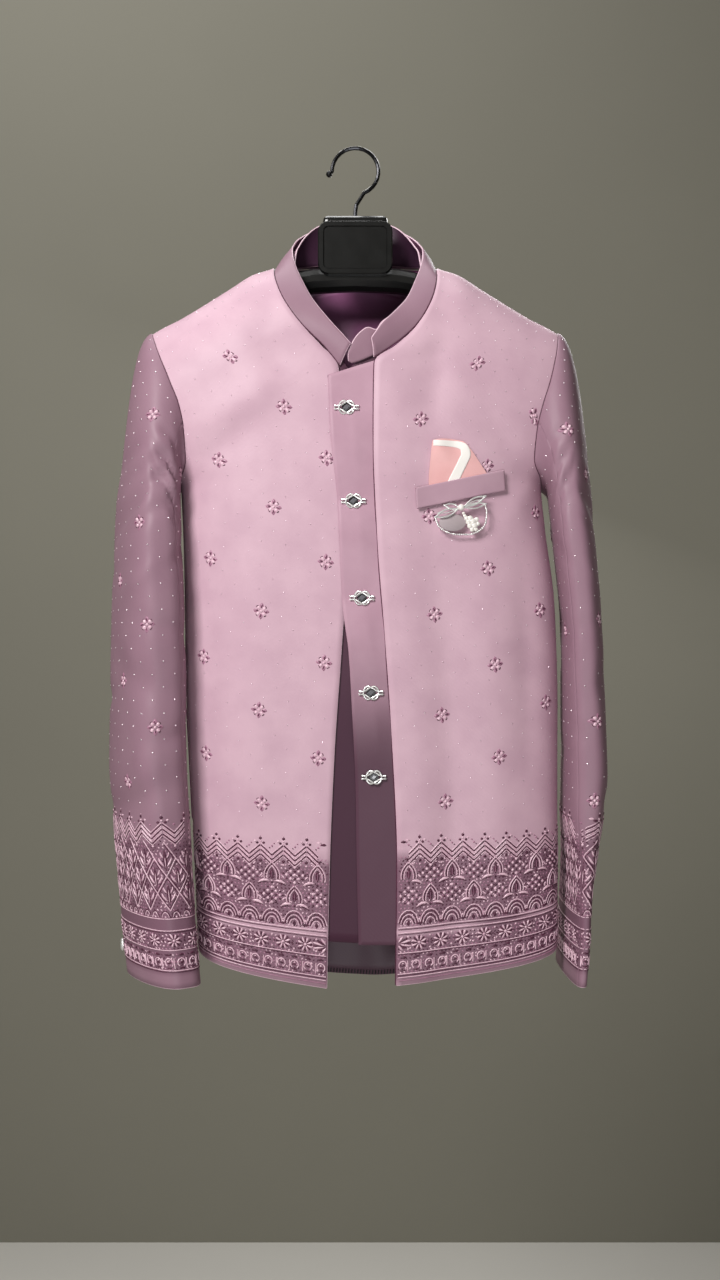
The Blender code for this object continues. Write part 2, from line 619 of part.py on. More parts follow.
def sleeve_grid(table, side_table, angles, head_rows, arm_rows):
    """A sleeve's points: a head that leaves the armhole outwards, then the arm down to the cuff."""
    outward = -1 if table[0][1] < 0 else 1
    angle = np.radians(angles)
    share = np.where(angles <= 180, angles / 180, (360 - angles) / 180)
    front = armhole(side_table, True, share)
    back = armhole(side_table, False, share)
    start = np.where((angles <= 180)[:, None], front, back)
    start = start + np.array([outward * ARMHOLE_GAP, 0, 0])
    end = sleeve_ring(table, np.full(len(angle), SLEEVE_TOP), angle)
    open_share = np.cos(angle / 2) ** 2
    reach = (HEAD_REACH * open_share + 4 * MM * (1 - open_share))[:, None]
    lean = np.stack([outward * (0.35 + 0.65 * open_share), -0.75 * np.sin(angle), -0.28 + 0 * angle], axis=-1)
    lean /= np.linalg.norm(lean, axis=-1, keepdims=True)
    first = start + lean * reach
    drop = (start[:, 2:] - end[:, 2:]) * HEAD_DROP
    inset = outward * -9 * MM * open_share[:, None]
    last = end + np.concatenate([inset, 0 * drop, drop], axis=-1)
    s = (np.linspace(0, 1, head_rows) ** 1.15)[:, None, None]
    head = (1 - s) ** 3 * start + 3 * s * (1 - s) ** 2 * first + 3 * s * s * (1 - s) * last + s ** 3 * end
    heights = np.linspace(SLEEVE_TOP, SLEEVE_END, arm_rows)[1:, None]
    arm = sleeve_ring(table, heights + 0 * angle[None, :], angle[None, :] + 0 * heights)
    return np.concatenate([head, arm])


def fold_depth(points, angles):
    """How far the largest folds press the sleeve in."""
    depth = np.zeros(points.shape[:2])
    for row in SLEEVE_FOLDS:
        fold = dict(zip(FOLD_COLUMNS, row))
        away = angles[None, :] - fold["round"]
        line = (fold["height"] + fold["slope"] * away) * MM
        across = (points[..., 2] - line) / (fold["half_width"] * MM)
        round_share = np.exp(-(((away + 180) % 360 - 180) / fold["spread"]) ** 2)
        depth += fold["depth"] * MM * np.exp(-across ** 2) * round_share
    return depth


def sleeve_normals(table, side_table, angles, counts):
    """Normals of the whole sleeve at some angles, the same for two pieces that meet there."""
    step = 0.5
    before = sleeve_grid(table, side_table, (angles - step) % 360, *counts)
    after = sleeve_grid(table, side_table, (angles + step) % 360, *counts)
    middle = (before + after) / 2
    normal = np.cross(after - before, np.gradient(middle, axis=0))
    normal /= np.maximum(np.linalg.norm(normal, axis=-1, keepdims=True), 1e-12)
    return -normal if table[0][1] < 0 else normal


def sleeve_places(first, last):
    """Angles of a sleeve piece, at the panels' rows round the armhole, with its seams at the two ends."""
    turn = 180 / ARMPIT_ROW
    whole = [row * turn for row in ROWS if row <= ARMPIT_ROW]
    whole = [-angle for angle in whole[:0:-1]] + whole + [360 - angle for angle in whole[-2:0:-1]]
    inside = [angle for angle in whole if first + 1 < angle < last - 1]
    return np.array([first + SEAM_TURN_GAP] + inside + [last - SEAM_TURN_GAP])


def sleeves(group):
    counts = (HEAD_ROWS, ARM_ROWS)
    seam = SLEEVE_SEAM_ROW * 180 / ARMPIT_ROW
    for word, table, side_table, strength in (
        ("right", RIGHT_SLEEVE, RIGHT_SIDE, 1.0), ("left", LEFT_SLEEVE, LEFT_SIDE, 0.5),
    ):
        for piece, first, last in (("topsleeve", -seam, seam), ("undersleeve", seam, 360 - seam)):
            angles = sleeve_places(first, last)
            points = sleeve_grid(table, side_table, angles % 360, *counts)
            normal = sleeve_normals(table, side_table, angles, counts)
            fade = np.ones(len(points))
            fade[0], fade[1] = 0, 0.4
            turned = (angles + 180) % 360 - 180
            press = fold_depth(points, turned) * strength * fade[:, None]
            points = points - normal * press[..., None]
            wall(f"{piece}_{word}", points, normal, CLOTH, "outer", group)


def tube(name, path, radius, cyclic, sides):
    """A swept wire as a mesh with welded caps."""
    curve = bpy.data.curves.new(name, "CURVE")
    curve.dimensions = "3D"
    curve.bevel_depth = radius
    curve.bevel_resolution = sides
    curve.use_fill_caps = True
    spline = curve.splines.new("POLY")
    spline.points.add(len(path) - 1)
    for point, place in zip(spline.points, path):
        point.co = (*place, 1)
    spline.use_cyclic_u = cyclic
    holder = bpy.data.objects.new(name, curve)
    bpy.context.scene.collection.objects.link(holder)
    bpy.context.view_layer.update()
    mesh = bpy.data.meshes.new_from_object(holder.evaluated_get(bpy.context.evaluated_depsgraph_get()))
    bpy.data.objects.remove(holder, do_unlink=True)
    bpy.data.curves.remove(curve)
    welded = bmesh.new()
    welded.from_mesh(mesh)
    bmesh.ops.remove_doubles(welded, verts=welded.verts, dist=1e-6)
    bmesh.ops.recalc_face_normals(welded, faces=welded.faces)
    welded.to_mesh(mesh)
    welded.free()
    return mesh


def union(target, other):
    """Fuses one object's mesh into another's and removes the first."""
    cut = target.modifiers.new("union", "BOOLEAN")
    cut.operation = "UNION"
    cut.solver = "EXACT"
    cut.object = other
    bpy.context.view_layer.update()
    mesh = bpy.data.meshes.new_from_object(target.evaluated_get(bpy.context.evaluated_depsgraph_get()))
    target.modifiers.remove(cut)
    target.data = mesh
    bpy.data.objects.remove(other, do_unlink=True)


def facing(x, z, out):
    """A place on the front and the turn about Z that faces it outwards."""
    step = 4 * MM
    y = float(body_y(np.array(x), np.array(z), True)) - out
    slope = float(body_y(np.array(x + step), np.array(z), True) - body_y(np.array(x - step), np.array(z), True))
    return (x, y, z), math.atan2(slope, 2 * step)


def knot_button(name, x, z, out, group):
    """A silver button like a reef knot: two bights of wire linked over and under, fused where they cross."""
    parts = []
    for sign in (-1, 1):
        path = []
        for step in range(BUTTON_STEPS):
            angle = 2 * math.pi * step / BUTTON_STEPS
            across = sign * (BUTTON_SHIFT + BUTTON_LOOP[0] * math.cos(angle))
            up = sign * BUTTON_LOOP[1] * math.sin(angle)
            weave = BUTTON_WEAVE * math.cos(2 * angle) * math.sin(angle) * (math.cos(angle) < 0)
            path.append((across, -BUTTON_WIRE - BUTTON_LIFT + weave, up))
        mesh = tube(name, path, BUTTON_WIRE, True, 1)
        parts.append(finish(mesh, name, "silver", group))
    parts[0].name = name
    union(parts[0], parts[1])
    place, turn = facing(x * MM, z * MM, out)
    parts[0].location = place
    parts[0].rotation_euler = (0, 0, turn)


def buttons(group):
    for number, (x, z) in enumerate(zip(BUTTON_ACROSS, BUTTON_HEIGHTS), start=1):
        knot_button(f"placket_button_{number}", x, z, PLACKET_OUT + CLOTH + SEAM_GAP, group)
    radius, thick, height = CUFF_BUTTON
    for word, table in (("right", RIGHT_SLEEVE), ("left", LEFT_SLEEVE)):
        turn = CUFF_BUTTON_TURNS[word]
        ring = sleeve_ring(table, np.full(2, height), np.radians(np.array([turn, turn + 1.0])))
        along = ring[1] - ring[0]
        inward = 1 if word == "right" else -1
        normal = np.array([along[1], -along[0], 0]) * inward
        normal /= np.linalg.norm(normal)
        away = ring[0] - np.array([float(table[-1][1]) * MM, float(table[-1][2]) * MM, ring[0][2]])
        if np.dot(normal, away) < 0:
            normal = -normal
        bpy.ops.mesh.primitive_cylinder_add(vertices=16, radius=radius, depth=thick)
        button = bpy.context.object
        button.name = f"cuff_button_{word}"
        button.data.materials.append(material("silver"))
        regroup(button, group)
        button.location = ring[0] + normal * (thick / 2 + CUFF_BUTTON_OUT)
        button.rotation_euler = (math.pi / 2, 0, math.atan2(normal[1], normal[0]) + math.pi / 2)


def pocket(group):
    ends = np.array(WELT, float) * MM
    share = np.linspace(0, 1, 9)[None, :]
    rise = np.linspace(0, 1, 3)[:, None]
    bottom_x = ends[0, 0] + (ends[1, 0] - ends[0, 0]) * share
    bottom_z = ends[0, 1] + (ends[1, 1] - ends[0, 1]) * share
    top_x = ends[0, 2] + (ends[1, 2] - ends[0, 2]) * share
    top_z = ends[0, 3] + (ends[1, 3] - ends[0, 3]) * share
    x = bottom_x + (top_x - bottom_x) * rise
    z = bottom_z + (top_z - bottom_z) * rise
    points = np.stack([x, body_y(x, z, True) - WELT_OUT - CLOTH, z], axis=-1)
    points[..., 1] -= overlap_out(points)
    wall("pocket_welt", points, grid_normals(points, (0, -1, 0)), CLOTH, "outer", group)

    low = profile(SQUARE, SQUARE_COLUMNS, "across", "bottom")
    high = profile(SQUARE, SQUARE_COLUMNS, "across", "top")
    x = np.linspace(SQUARE[0][0] * MM, SQUARE[-1][0] * MM, 13)[None, :]
    share = np.linspace(0, 1, 6)[:, None]
    z = high(x) + (low(x) - high(x)) * share
    x = x + 0 * share
    tucked = np.clip((z - SQUARE_TUCK) / (20 * MM), 0, 1)
    pleats = SQUARE_PLEAT * (1 + np.sin(x / (4.6 * MM) + z / (30 * MM))) * tucked
    y = body_y(x, z, True) - SQUARE_OUT - LINING - pleats
    points = np.stack([x, y, z], axis=-1)
    points[..., 1] -= overlap_out(points)
    wall("pocket_square", points, grid_normals(points, (0, -1, 0)), LINING, "square", group)


def brooch(group):
    """A generic bow of wire with a drop ring, pinned on the welt."""
    wings = []
    turns = [2 * math.pi * step / 18 for step in range(18)]
    long, tall, lift = BROOCH_BOW
    for sign in (-1, 1):
        path = []
        for angle in turns:
            up = tall * math.sin(angle) * (0.72 + 0.28 * math.cos(angle)) + sign * lift * (1 + math.cos(angle)) / 2
            path.append((sign * (long + 0.5 * MM + long * math.cos(angle)), 0, up))
        wings.append(tube("brooch", path, BROOCH_WIRE, True, 1))
    half, deep, low = BROOCH_RING
    ring = [(half * math.cos(a), 0.6 * MM, low + deep * math.sin(a)) for a in turns]
    wings.append(tube("brooch", ring, BROOCH_RING_WIRE, True, 1))
    pieces = [finish(mesh, "brooch", "silver", group) for mesh in wings]
    bpy.ops.mesh.primitive_uv_sphere_add(segments=12, ring_count=8, radius=PEARL)
    pearl = bpy.context.object
    for piece in pieces[1:] + [pearl]:
        union(pieces[0], piece)
    place, turn = facing(BROOCH_AT[0] * MM, BROOCH_AT[1] * MM, WELT_OUT + CLOTH + BROOCH_OUT)
    pieces[0].name = "brooch"
    pieces[0].location = place
    pieces[0].rotation_euler = (0, math.radians(-6), turn)


def hanger(group):
    # The arms: rounded sections under the shoulder line, higher in the middle.
    stations = []
    for across in np.linspace(0, 1, 13) ** 0.85 * ARM[-1][0] * MM:
        stations += [across, -across] if across else [0.0]
    stations.sort()
    crest = profile(ARM, ARM_COLUMNS, "across", "top")
    depth = profile(ARM, ARM_COLUMNS, "across", "half_depth")
    height = profile(ARM, ARM_COLUMNS, "across", "height")
    bow = profile(ARM, ARM_COLUMNS, "across", "bow")
    rings = bmesh.new()
    loops = []
    for x in stations:
        top = float(crest(abs(x)))
        half, tall, middle = float(depth(abs(x))), float(height(abs(x))), float(bow(abs(x)))
        loop = []
        for step in range(12):
            angle = 2 * math.pi * (step + 0.5) / 12
            lift = tall / 2 * math.sin(angle)
            loop.append(rings.verts.new((x, middle + half * math.cos(angle), top - tall / 2 + lift)))
        loops.append(loop)
    for a, b in zip(loops, loops[1:]):
        for k in range(12):
            rings.faces.new((a[k], a[(k + 1) % 12], b[(k + 1) % 12], b[k]))
    rings.faces.new(loops[0])
    rings.faces.new(loops[-1])
    bmesh.ops.recalc_face_normals(rings, faces=rings.faces)
    mesh = bpy.data.meshes.new("hanger_arms")
    rings.to_mesh(mesh)
    rings.free()
    finish(mesh, "hanger_arms", "hanger", group)

    # The neck block stands on the arms and takes the hook; the plate covers both in front.
    neck_low = ARM[0][1] * MM + SEAM_GAP
    add_block("hanger_neck", NECK_HALF, (NECK_TOP, neck_low), 5 * MM, "hanger", group)
    plate(group)

    path = [(0, 0, NECK_TOP + SEAM_GAP), (0, 0, NECK_TOP + 6 * MM), (1.2 * MM, 0, NECK_TOP + 14 * MM)]
    centre_z = -HOOK_RADIUS + HOOK_WIRE
    for step in range(21):
        angle = math.radians(-68 + step * (248 / 20))
        path.append((HOOK_RADIUS * math.cos(angle), 0, centre_z + HOOK_RADIUS * math.sin(angle)))
    tip = path[-1]
    path.append((tip[0] - 3 * MM, 0, tip[2] - 3 * MM))
    hook = finish(tube("hanger_hook", path, HOOK_WIRE, False, 2), "hanger_hook", "hook", group)
    bpy.ops.mesh.primitive_uv_sphere_add(segments=12, ring_count=8, radius=HOOK_TIP, location=path[-1])
    union(hook, bpy.context.object)


def add_block(name, half, heights, corner, look, group):
    bpy.ops.mesh.primitive_cube_add(size=1)
    block = bpy.context.object
    block.name = name
    block.data.name = name
    top, low = heights
    for vert in block.data.vertices:
        vert.co.x *= 2 * half[0]
        vert.co.y *= 2 * half[1]
        vert.co.z *= top - low
    block.location = (0, 0, (top + low) / 2)
    rounding = block.modifiers.new("rounding", "BEVEL")
    rounding.width = corner
    rounding.segments = 3
    block.data.materials.append(material(look))
    regroup(block, group)


def rounded_outline(half_x, half_z, corner, steps):
    points = []
    for quarter, (sx, sz) in enumerate(((1, 1), (-1, 1), (-1, -1), (1, -1))):
        for step in range(steps + 1):
            angle = math.pi / 2 * (quarter + step / steps)
            points.append((sx * (half_x - corner) + corner * math.cos(angle),
                           sz * (half_z - corner) + corner * math.sin(angle)))
    return points


def plate(group):
    """The neck plate: a rounded rectangle with a raised rim round a bare sunk panel."""
    half_x, half_z, deep = PLATE
    shape = bmesh.new()
    loops = []
    rim = ((0, 0, 0), (0, 0, 0.7), (1.2, 1.2, 1.0), (5.5, 5.5, 1.0), (6.6, 6.6, 0.72))
    for inset_x, inset_z, share in rim:
        corner = max(PLATE_CORNER - inset_x * MM, 3 * MM)
        outline = rounded_outline(half_x - inset_x * MM, half_z - inset_z * MM, corner, 4)
        loops.append([shape.verts.new((x, PLATE_BACK - deep * share, z)) for x, z in outline])
    for a, b in zip(loops, loops[1:]):
        for k in range(len(a)):
            shape.faces.new((a[k], a[(k + 1) % len(a)], b[(k + 1) % len(a)], b[k]))
    shape.faces.new(loops[0])
    shape.faces.new(loops[-1])
    bmesh.ops.recalc_face_normals(shape, faces=shape.faces)
    mesh = bpy.data.meshes.new("hanger_plate")
    shape.to_mesh(mesh)
    shape.free()
    made = finish(mesh, "hanger_plate", "hanger", group)
    made.location = (0, 0, PLATE_MIDDLE)


def main():
    clear_scene()
    group = collection("indo_western_sherwani")
    outer_fronts(group)
    outer_back(group)
    outer_collar(group)
    sleeves(group)
    inner_fronts(group)
    inner_collar(group)
    placket(group)
    back_lining(group)
    pocket(group)
    brooch(group)
    buttons(group)
    hanger(group)


main()
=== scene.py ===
"""Looks of a short embroidered jacket over an attached buttoned front, on a suit hanger.

The cloth's forms repeat those of the solids. Tables are in millimetres, everything built is in metres,
the front faces -Y and the wearer's left is +X. Each cloth is a fine shell worked out from the same body,
collar and sleeve forms, with its soft creases. Its outer surface is charted in millimetres, so that
embroidery is sewn on it stitch by stitch.
"""
import math

import bmesh
import bpy
import numpy as np
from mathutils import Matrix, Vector


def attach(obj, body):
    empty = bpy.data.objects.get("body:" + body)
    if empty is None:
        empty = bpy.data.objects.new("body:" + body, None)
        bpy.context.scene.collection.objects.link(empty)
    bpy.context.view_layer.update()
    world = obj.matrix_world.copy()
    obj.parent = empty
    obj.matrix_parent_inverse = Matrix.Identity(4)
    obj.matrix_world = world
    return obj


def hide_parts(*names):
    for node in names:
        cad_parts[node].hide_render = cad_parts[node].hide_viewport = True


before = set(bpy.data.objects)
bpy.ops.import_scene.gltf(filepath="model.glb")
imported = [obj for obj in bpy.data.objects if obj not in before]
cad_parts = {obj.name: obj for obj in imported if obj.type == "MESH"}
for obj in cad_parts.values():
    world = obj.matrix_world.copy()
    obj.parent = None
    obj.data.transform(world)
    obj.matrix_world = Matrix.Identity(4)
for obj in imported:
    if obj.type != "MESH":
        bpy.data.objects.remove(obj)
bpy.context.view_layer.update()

MM = 0.001
TINY = 1e-12
# The thickness of the jacket's cloth, of its two collars' outer one and of the lining and the fine satin.
CLOTH = 1.5 * MM
COLLAR_CLOTH = 1.8 * MM
LINING = 1.0 * MM
SEAM_GAP = 0.3 * MM
ARMHOLE_GAP = 0.45 * MM
# The power of the body's oval section.
ROUNDNESS = 2.8

# The body's sections: its middle and half width across, and its depth before and behind the side seams.
BODY_COLUMNS = ("height", "middle", "half_width", "seam_y", "front", "back")
BODY = (
    (-100, 0, 262, 0, 64, 52),
    (-200, 0, 260, 0, 67, 56),
    (-275, 2, 243, 0, 71, 61),
    (-335, 5, 203, 0, 74, 65),
    (-360, 6, 189, 0, 75, 65),
    (-400, 9, 190, 0, 75, 64),
    (-480, 15, 194, -1, 73, 59),
    (-560, 17, 195, -2, 69, 53),
    (-640, 19, 193, -3, 64, 47),
    (-760, 22, 190, -5, 56, 39),
    (-900, 25, 187, -7, 46, 31),
)

# The shoulder line's height at each distance from the middle, and how far below it the cloth has turned down.
SHOULDER_COLUMNS = ("across", "height")
SHOULDER = (
    (0, -96), (40, -104), (70, -117), (86, -127), (106, -133), (131, -148),
    (161, -166), (182, -178), (204, -189), (214, -195), (240, -212),
)
FRONT_TURN = 90 * MM
BACK_TURN = 45 * MM

# The armhole and side seam on either side: across is None below the armpit, where the edge is the side seam.
SEAM_COLUMNS = ("row", "across", "height")
RIGHT_SIDE = (
    (0, -214, -195), (1, -201, -229), (2, -189, -254), (3, -179, -278), (4, -174, -304), (5, -173, -333),
    (6, -183, -360), (7, None, -420), (8, None, -500), (9, None, -580), (10, None, -660), (11, None, -750),
    (12, None, -838),
)
LEFT_SIDE = (
    (0, 213, -195), (1, 206, -229), (2, 199, -254), (3, 191, -278), (4, 185, -304), (5, 183, -333),
    (6, 195, -360), (7, None, -420), (8, None, -500), (9, None, -580), (10, None, -660), (11, None, -750),
    (12, None, -836),
)
ARMPIT_ROW = 6
SAME_ROW = 1e-6
# Rows between which the panels' level lines fade out, and rows that still follow the shoulder line.
LEVEL_ROWS = (6, 10)
SHOULDER_ROWS = 2.5
SHOULDER_POWER = 1.5
BACK_HEM_POWER = 1.5
LEAN_POWER = 6
# How much closer the columns lie towards the side, where the body turns.
SIDE_CROWDING = 0.10
# How far round the columns lean at the armpit's row and the rows below it, in degrees.
SIDE_TURNS = (71, 79, 85, 89, 90, 90, 90)
LAST_ROW = 12
# The row where the seams between topsleeve and undersleeve meet the armhole.
SLEEVE_SEAM_ROW = 3.8

# The neck seam and front edge of each outer front, row by row with the side.
RIGHT_EDGE = (
    (0, -86, -127), (1, -84, -143), (2, -77, -165), (3, -65, -186), (4, -50, -205), (5, -34, -222),
    (6, -17, -244), (7, -13, -330), (8, -8, -430), (9, -14, -530), (10, -21, -630), (11, -26, -745),
    (12, -29, -872),
)
LEFT_EDGE = (
    (0, 86, -127), (1, 85, -143), (2, 82, -162), (3, 74, -183), (4, 60, -204), (5, 41, -222),
    (6, 20, -240), (7, 19, -320), (8, 23, -420), (9, 30, -510), (10, 37, -610), (11, 43, -745),
    (12, 42, -868),
)
# The back's middle line from the neck seam to the hem, and the neck seam from the shoulder to that line.
BACK_MIDDLE = (
    (0, 0, -114), (1, 0, -144), (2, 0, -178), (3, 0, -214), (4, 0, -256), (5, 1, -304),
    (6, 5, -352), (7, 9, -420), (8, 14, -505), (9, 17, -595), (10, 18, -685), (11, 19, -780),
    (12, 19, -877),
)
BACK_NECK = ((0, -114), (30, -115), (55, -118), (76, -122.5), (86, -127))

# The attached inner fronts meet on the placket's middle line and end above the hem.
INNER_EDGE = (
    (0, 0, -127), (1, 0, -143), (2, 0, -165), (3, 0, -186), (4, 0, -205), (5, 0, -222),
    (6, -6, -247), (7, -2, -330), (8, 4, -430), (9, 12, -530), (10, 19, -630), (11, 23, -740),
    (12, 24, -827),
)
INNER_DEPTH = 2.5 * MM
INNER_REACH = 0.55
INNER_FIRST_ROW = 1.1
# In table millimetres: how far the inner fronts stand off the neck seam and the middle line, and their side
# hem.
INNER_NECK_OUT = 1.5
INNER_PARTING = 0.6
INNER_SIDE_HEM = -813
INNER_COUNTS = (90, 30)
LINING_REACH = 0.62
LINING_DEPTH = 3.1 * MM
LINING_FIRST_ROW = 0.6
LINING_COUNTS = (96, 46)
# The lining's soft pleats: radius and spread across, where they start, how deep they are, and how they fade
# towards the hem: their share at height 0, the metres over which it falls by 1, and the least that stays.
PLEAT_PITCH = 9 * MM
PLEAT_SPREAD = 38 * MM
PLEAT_TOP = -150 * MM
PLEAT_RAMP = 60 * MM
PLEAT_STAND = 2.5 * MM
PLEAT_DEPTH = 2.2 * MM
PLEAT_FADE = (1.6, 0.6, 0.35)

# The placket's two edges.
PLACKET_COLUMNS = ("height", "left", "right")
PLACKET = (
    (-243, -27, 24), (-310, -24, 26), (-380, -17, 28), (-483, -12, 36), (-530, -6, 40), (-580, -3, 44),
    (-670, 1, 50), (-740, 2, 51), (-827, 4, 50),
)
PLACKET_TOP_RISE = 16 * MM
PLACKET_TOP_DROP = 9 * MM
PLACKET_TOP_FADE = 90 * MM
PLACKET_OUT = 0.4 * MM
PLACKET_COUNTS = (150, 16)
# Each button pulls the placket in over its reach across and up, and between two buttons it swells out: the
# power that moves the swell's peak down, and the share across where it ends and over which it fades.
PLACKET_PULL = 0.3 * MM
PULL_REACH = (16 * MM, 26 * MM)
PLACKET_SWELL = 4.2 * MM
SWELL_POWER = 1.5
SWELL_END = 0.92
SWELL_FADE = 0.45
# The left front's edge over the placket: how far it stands out, and how that fades across and starts below
# the neck.
OVERLAP_OUT = 4.6 * MM
OVERLAP_FLAT = 8 * MM
OVERLAP_FADE = 45 * MM
OVERLAP_TOP = -200 * MM
OVERLAP_RAMP = 35 * MM

# The outer collar's stations from the front to the back's middle: its top edge, standing on the neck seam.
COLLAR_COLUMNS = ("base_x", "base_z", "top_x", "top_y", "top_z")
RIGHT_COLLAR = (
    (-17, -244, -5, -73, -220), (-34, -222, -18, -70, -205), (-50, -205, -32, -65, -188),
    (-65, -186, -45, -56, -169), (-77, -165, -55, -43, -148), (-84, -143, -63, -26, -127),
    (-86, -127, -67, -6, -107), (-76, -122.5, -65, 16, -93), (-55, -118, -53, 35, -79),
    (-30, -115, -31, 47, -68), (0, -114, 0, 51, -63),
)
LEFT_COLLAR = (
    (20, -237, 17, -78, -216), (41, -222, 27, -75, -201), (60, -204, 41, -67, -186),
    (74, -183, 54, -57, -169), (82, -162, 62, -44, -149), (85, -143, 69, -27, -128),
    (86, -127, 72, -6, -108), (76, -122.5, 67, 16, -93), (55, -118, 54, 35, -79),
    (30, -115, 31, 47, -68), (0, -114, 0, 51, -63),
)
# How many of each side's stations stand on the back.
BACK_STATIONS = 5
# The inner collar stands inside the outer one and ends in a rounded tab past the middle.
STATION_COLUMNS = ("base_x", "base_y", "base_z", "top_x", "top_y", "top_z")
COLLAR_TAB = (
    (12, -69.5, -234, 13, -70.5, -204), (3, -69.5, -237.5, 5, -70.5, -209),
    (-3, -69.5, -239, -2, -70.5, -218),
    (-6.5, -69.5, -237.5, -6.5, -70.5, -228),
)
INNER_COLLAR_BASE_IN = 3.9 * MM
INNER_COLLAR_TOP_IN = 6.5 * MM
INNER_COLLAR_RISE = 2 * MM
COLLAR_STATIONS = 37
COLLAR_ROWS = 5
COLLAR_MIDDLE_Y = 5 * MM
COLLAR_LEAN = 4 * MM
COLLAR_BELLY = 1.5 * MM
INNER_COLLAR_BELLY = 0.8 * MM
COLLAR_LIFT = 0.7 * MM
COLLAR_END_LIFT = 2.9 * MM
COLLAR_END_STATIONS = 4

# The sleeves' sections: middle, half length of the long axis, half thickness and turn towards the front
# middle.
SLEEVE_COLUMNS = ("height", "x", "y", "long", "short", "turn")
RIGHT_SLEEVE = (
    (-372, -218, -8, 76, 31, 17), (-420, -218.5, -10, 77, 32, 19), (-480, -218, -12, 77, 33, 21),
    (-560, -217.5, -14, 74, 34, 23), (-640, -217.5, -16, 71, 34, 25), (-700, -214, -18, 67, 33, 27),
    (-760, -209, -21, 63, 31, 29), (-820, -204, -25, 59, 29, 32), (-866, -199, -28, 57, 28, 34),
)
LEFT_SLEEVE = (
    (-372, 226, -6, 74, 23, 8), (-420, 230, -8, 76, 22, 7), (-497, 236.5, -8, 76, 21, 6),
    (-600, 239, -8, 74, 22, 4), (-666, 240, -8, 71, 22.5, 3), (-700, 237.5, -8, 69, 20, 2),
    (-740, 235, -8, 67, 14, 0), (-770, 232, -8, 66, 10.5, -1), (-830, 229, -8, 66, 9, -2),
    (-866, 226.5, -8, 66, 8.5, -2),
)
# The tables of either side and its direction along X.
SIDES = {
    "right": (RIGHT_EDGE, RIGHT_SIDE, RIGHT_SLEEVE, -1),
    "left": (LEFT_EDGE, LEFT_SIDE, LEFT_SLEEVE, 1),
}
SLEEVE_TOP = -372 * MM
SLEEVE_END = -866 * MM
# How the sleeve's head leaves the armhole: its reach at the shoulder's tip and at the armpit, its direction
# out, its extra outward share at the tip, its turn to the front or back and down, and how it then comes into
# the arm.
HEAD_REACH = (21 * MM, 4 * MM)
HEAD_LEAN = (0.35, 0.65, 0.75, 0.28)
HEAD_DROP = 0.46
HEAD_INSET = 9 * MM
HEAD_SPACING = 1.15
SEAM_TURN_GAP = 0.35
NORMAL_STEP = 0.5
SECTION_BLUNTNESS = 0.65

# Sleeve folds: height where it is deepest, slope in mm for each degree round the arm, half width, depth,
# where round the arm it is deepest and how far it spreads. A negative depth is a ridge. The last six are the
# puckers by the armhole.
FOLD_COLUMNS = ("height", "slope", "half_width", "depth", "round", "spread")
SLEEVE_FOLDS = (
    (-372, 0.55, 15, 7, 55, 55), (-345, 0.40, 10, 4, 60, 40), (-560, -0.30, 18, 4, 60, 45),
    (-680, 0.30, 14, 4, 40, 50), (-396, 0.50, 8, 2.6, 70, 34), (-432, 0.35, 9, 2.4, 120, 30),
    (-505, -0.20, 9, 2.2, 95, 32), (-612, 0.25, 9, 2.2, 105, 36), (-735, -0.25, 10, 2.6, 80, 42),
    (-455, 0.45, 9, -2.2, 60, 34), (-580, 0.20, 11, 2.4, -40, 40), (-430, -0.35, 12, 3.0, -60, 40),
    (-700, 0.20, 12, 2.6, -70, 45), (-500, 0.40, 14, 3.0, 175, 45), (-640, -0.30, 13, 3.0, 190, 40),
    (-330, 0.30, 9, 2.0, 30, 35), (-540, 0.10, 30, -2.4, 40, 22), (-640, -0.20, 34, -2.2, 62, 20),
    (-364, -1.0, 6.5, 4.8, 99, 24), (-350, -1.0, 7, -3.2, 99, 24), (-341, -0.8, 6, 3.6, 98, 24),
    (-328, -0.8, 6.5, -2.4, 98, 24), (-313, -0.5, 6, 2.8, 97, 22), (-384, -1.2, 7, 2.6, 102, 20),
)
FOLD_STRENGTH = {"right": 1.0, "left": 0.5}
FOLD_FADE_ROWS = 7.0

# The soft creases of the body, each along a short line seen from the front, lifted out or pressed in, and the
# share of its lift that a crease has at its ends.
CREASE_ENDS = 0.35
CREASE_COLUMNS = ("x0", "z0", "x1", "z1", "half_width", "lift")
FRONT_CREASES = (
    (-150, -300, -70, -255, 20, 3.0), (-165, -345, -95, -295, 17, -2.5), (-95, -420, -112, -790, 24, 2.3),
    (-150, -430, -160, -800, 17, -2.3), (-60, -250, -95, -215, 14, -1.9), (-120, -200, -90, -290, 18, 1.7),
    (88, -205, 76, -300, 12, -2.1), (110, -265, 168, -335, 16, -3.1), (95, -240, 140, -300, 14, 2.1),
    (135, -440, 152, -800, 22, 2.5), (92, -470, 100, -810, 16, -1.9), (155, -400, 186, -350, 12, 2.1),
    (172, -440, 178, -640, 12, -2.0),
)
BACK_CREASES = (
    (-110, -260, -70, -420, 24, 2.4), (100, -255, 62, -430, 22, 2.0), (-60, -400, -75, -800, 26, 1.8),
    (70, -420, 88, -790, 24, 2.0), (0, -330, 12, -820, 20, -1.8), (-150, -380, -150, -700, 18, -1.6),
    (150, -400, 155, -720, 18, -1.8), (-120, -215, 0, -250, 16, -1.2), (20, -240, 130, -205, 16, -1.0),
)

BUTTON_HEIGHTS = (-285, -379, -476, -571, -656)
BUTTON_ACROSS = (-8.5, -1.5, 7, 16, 19)
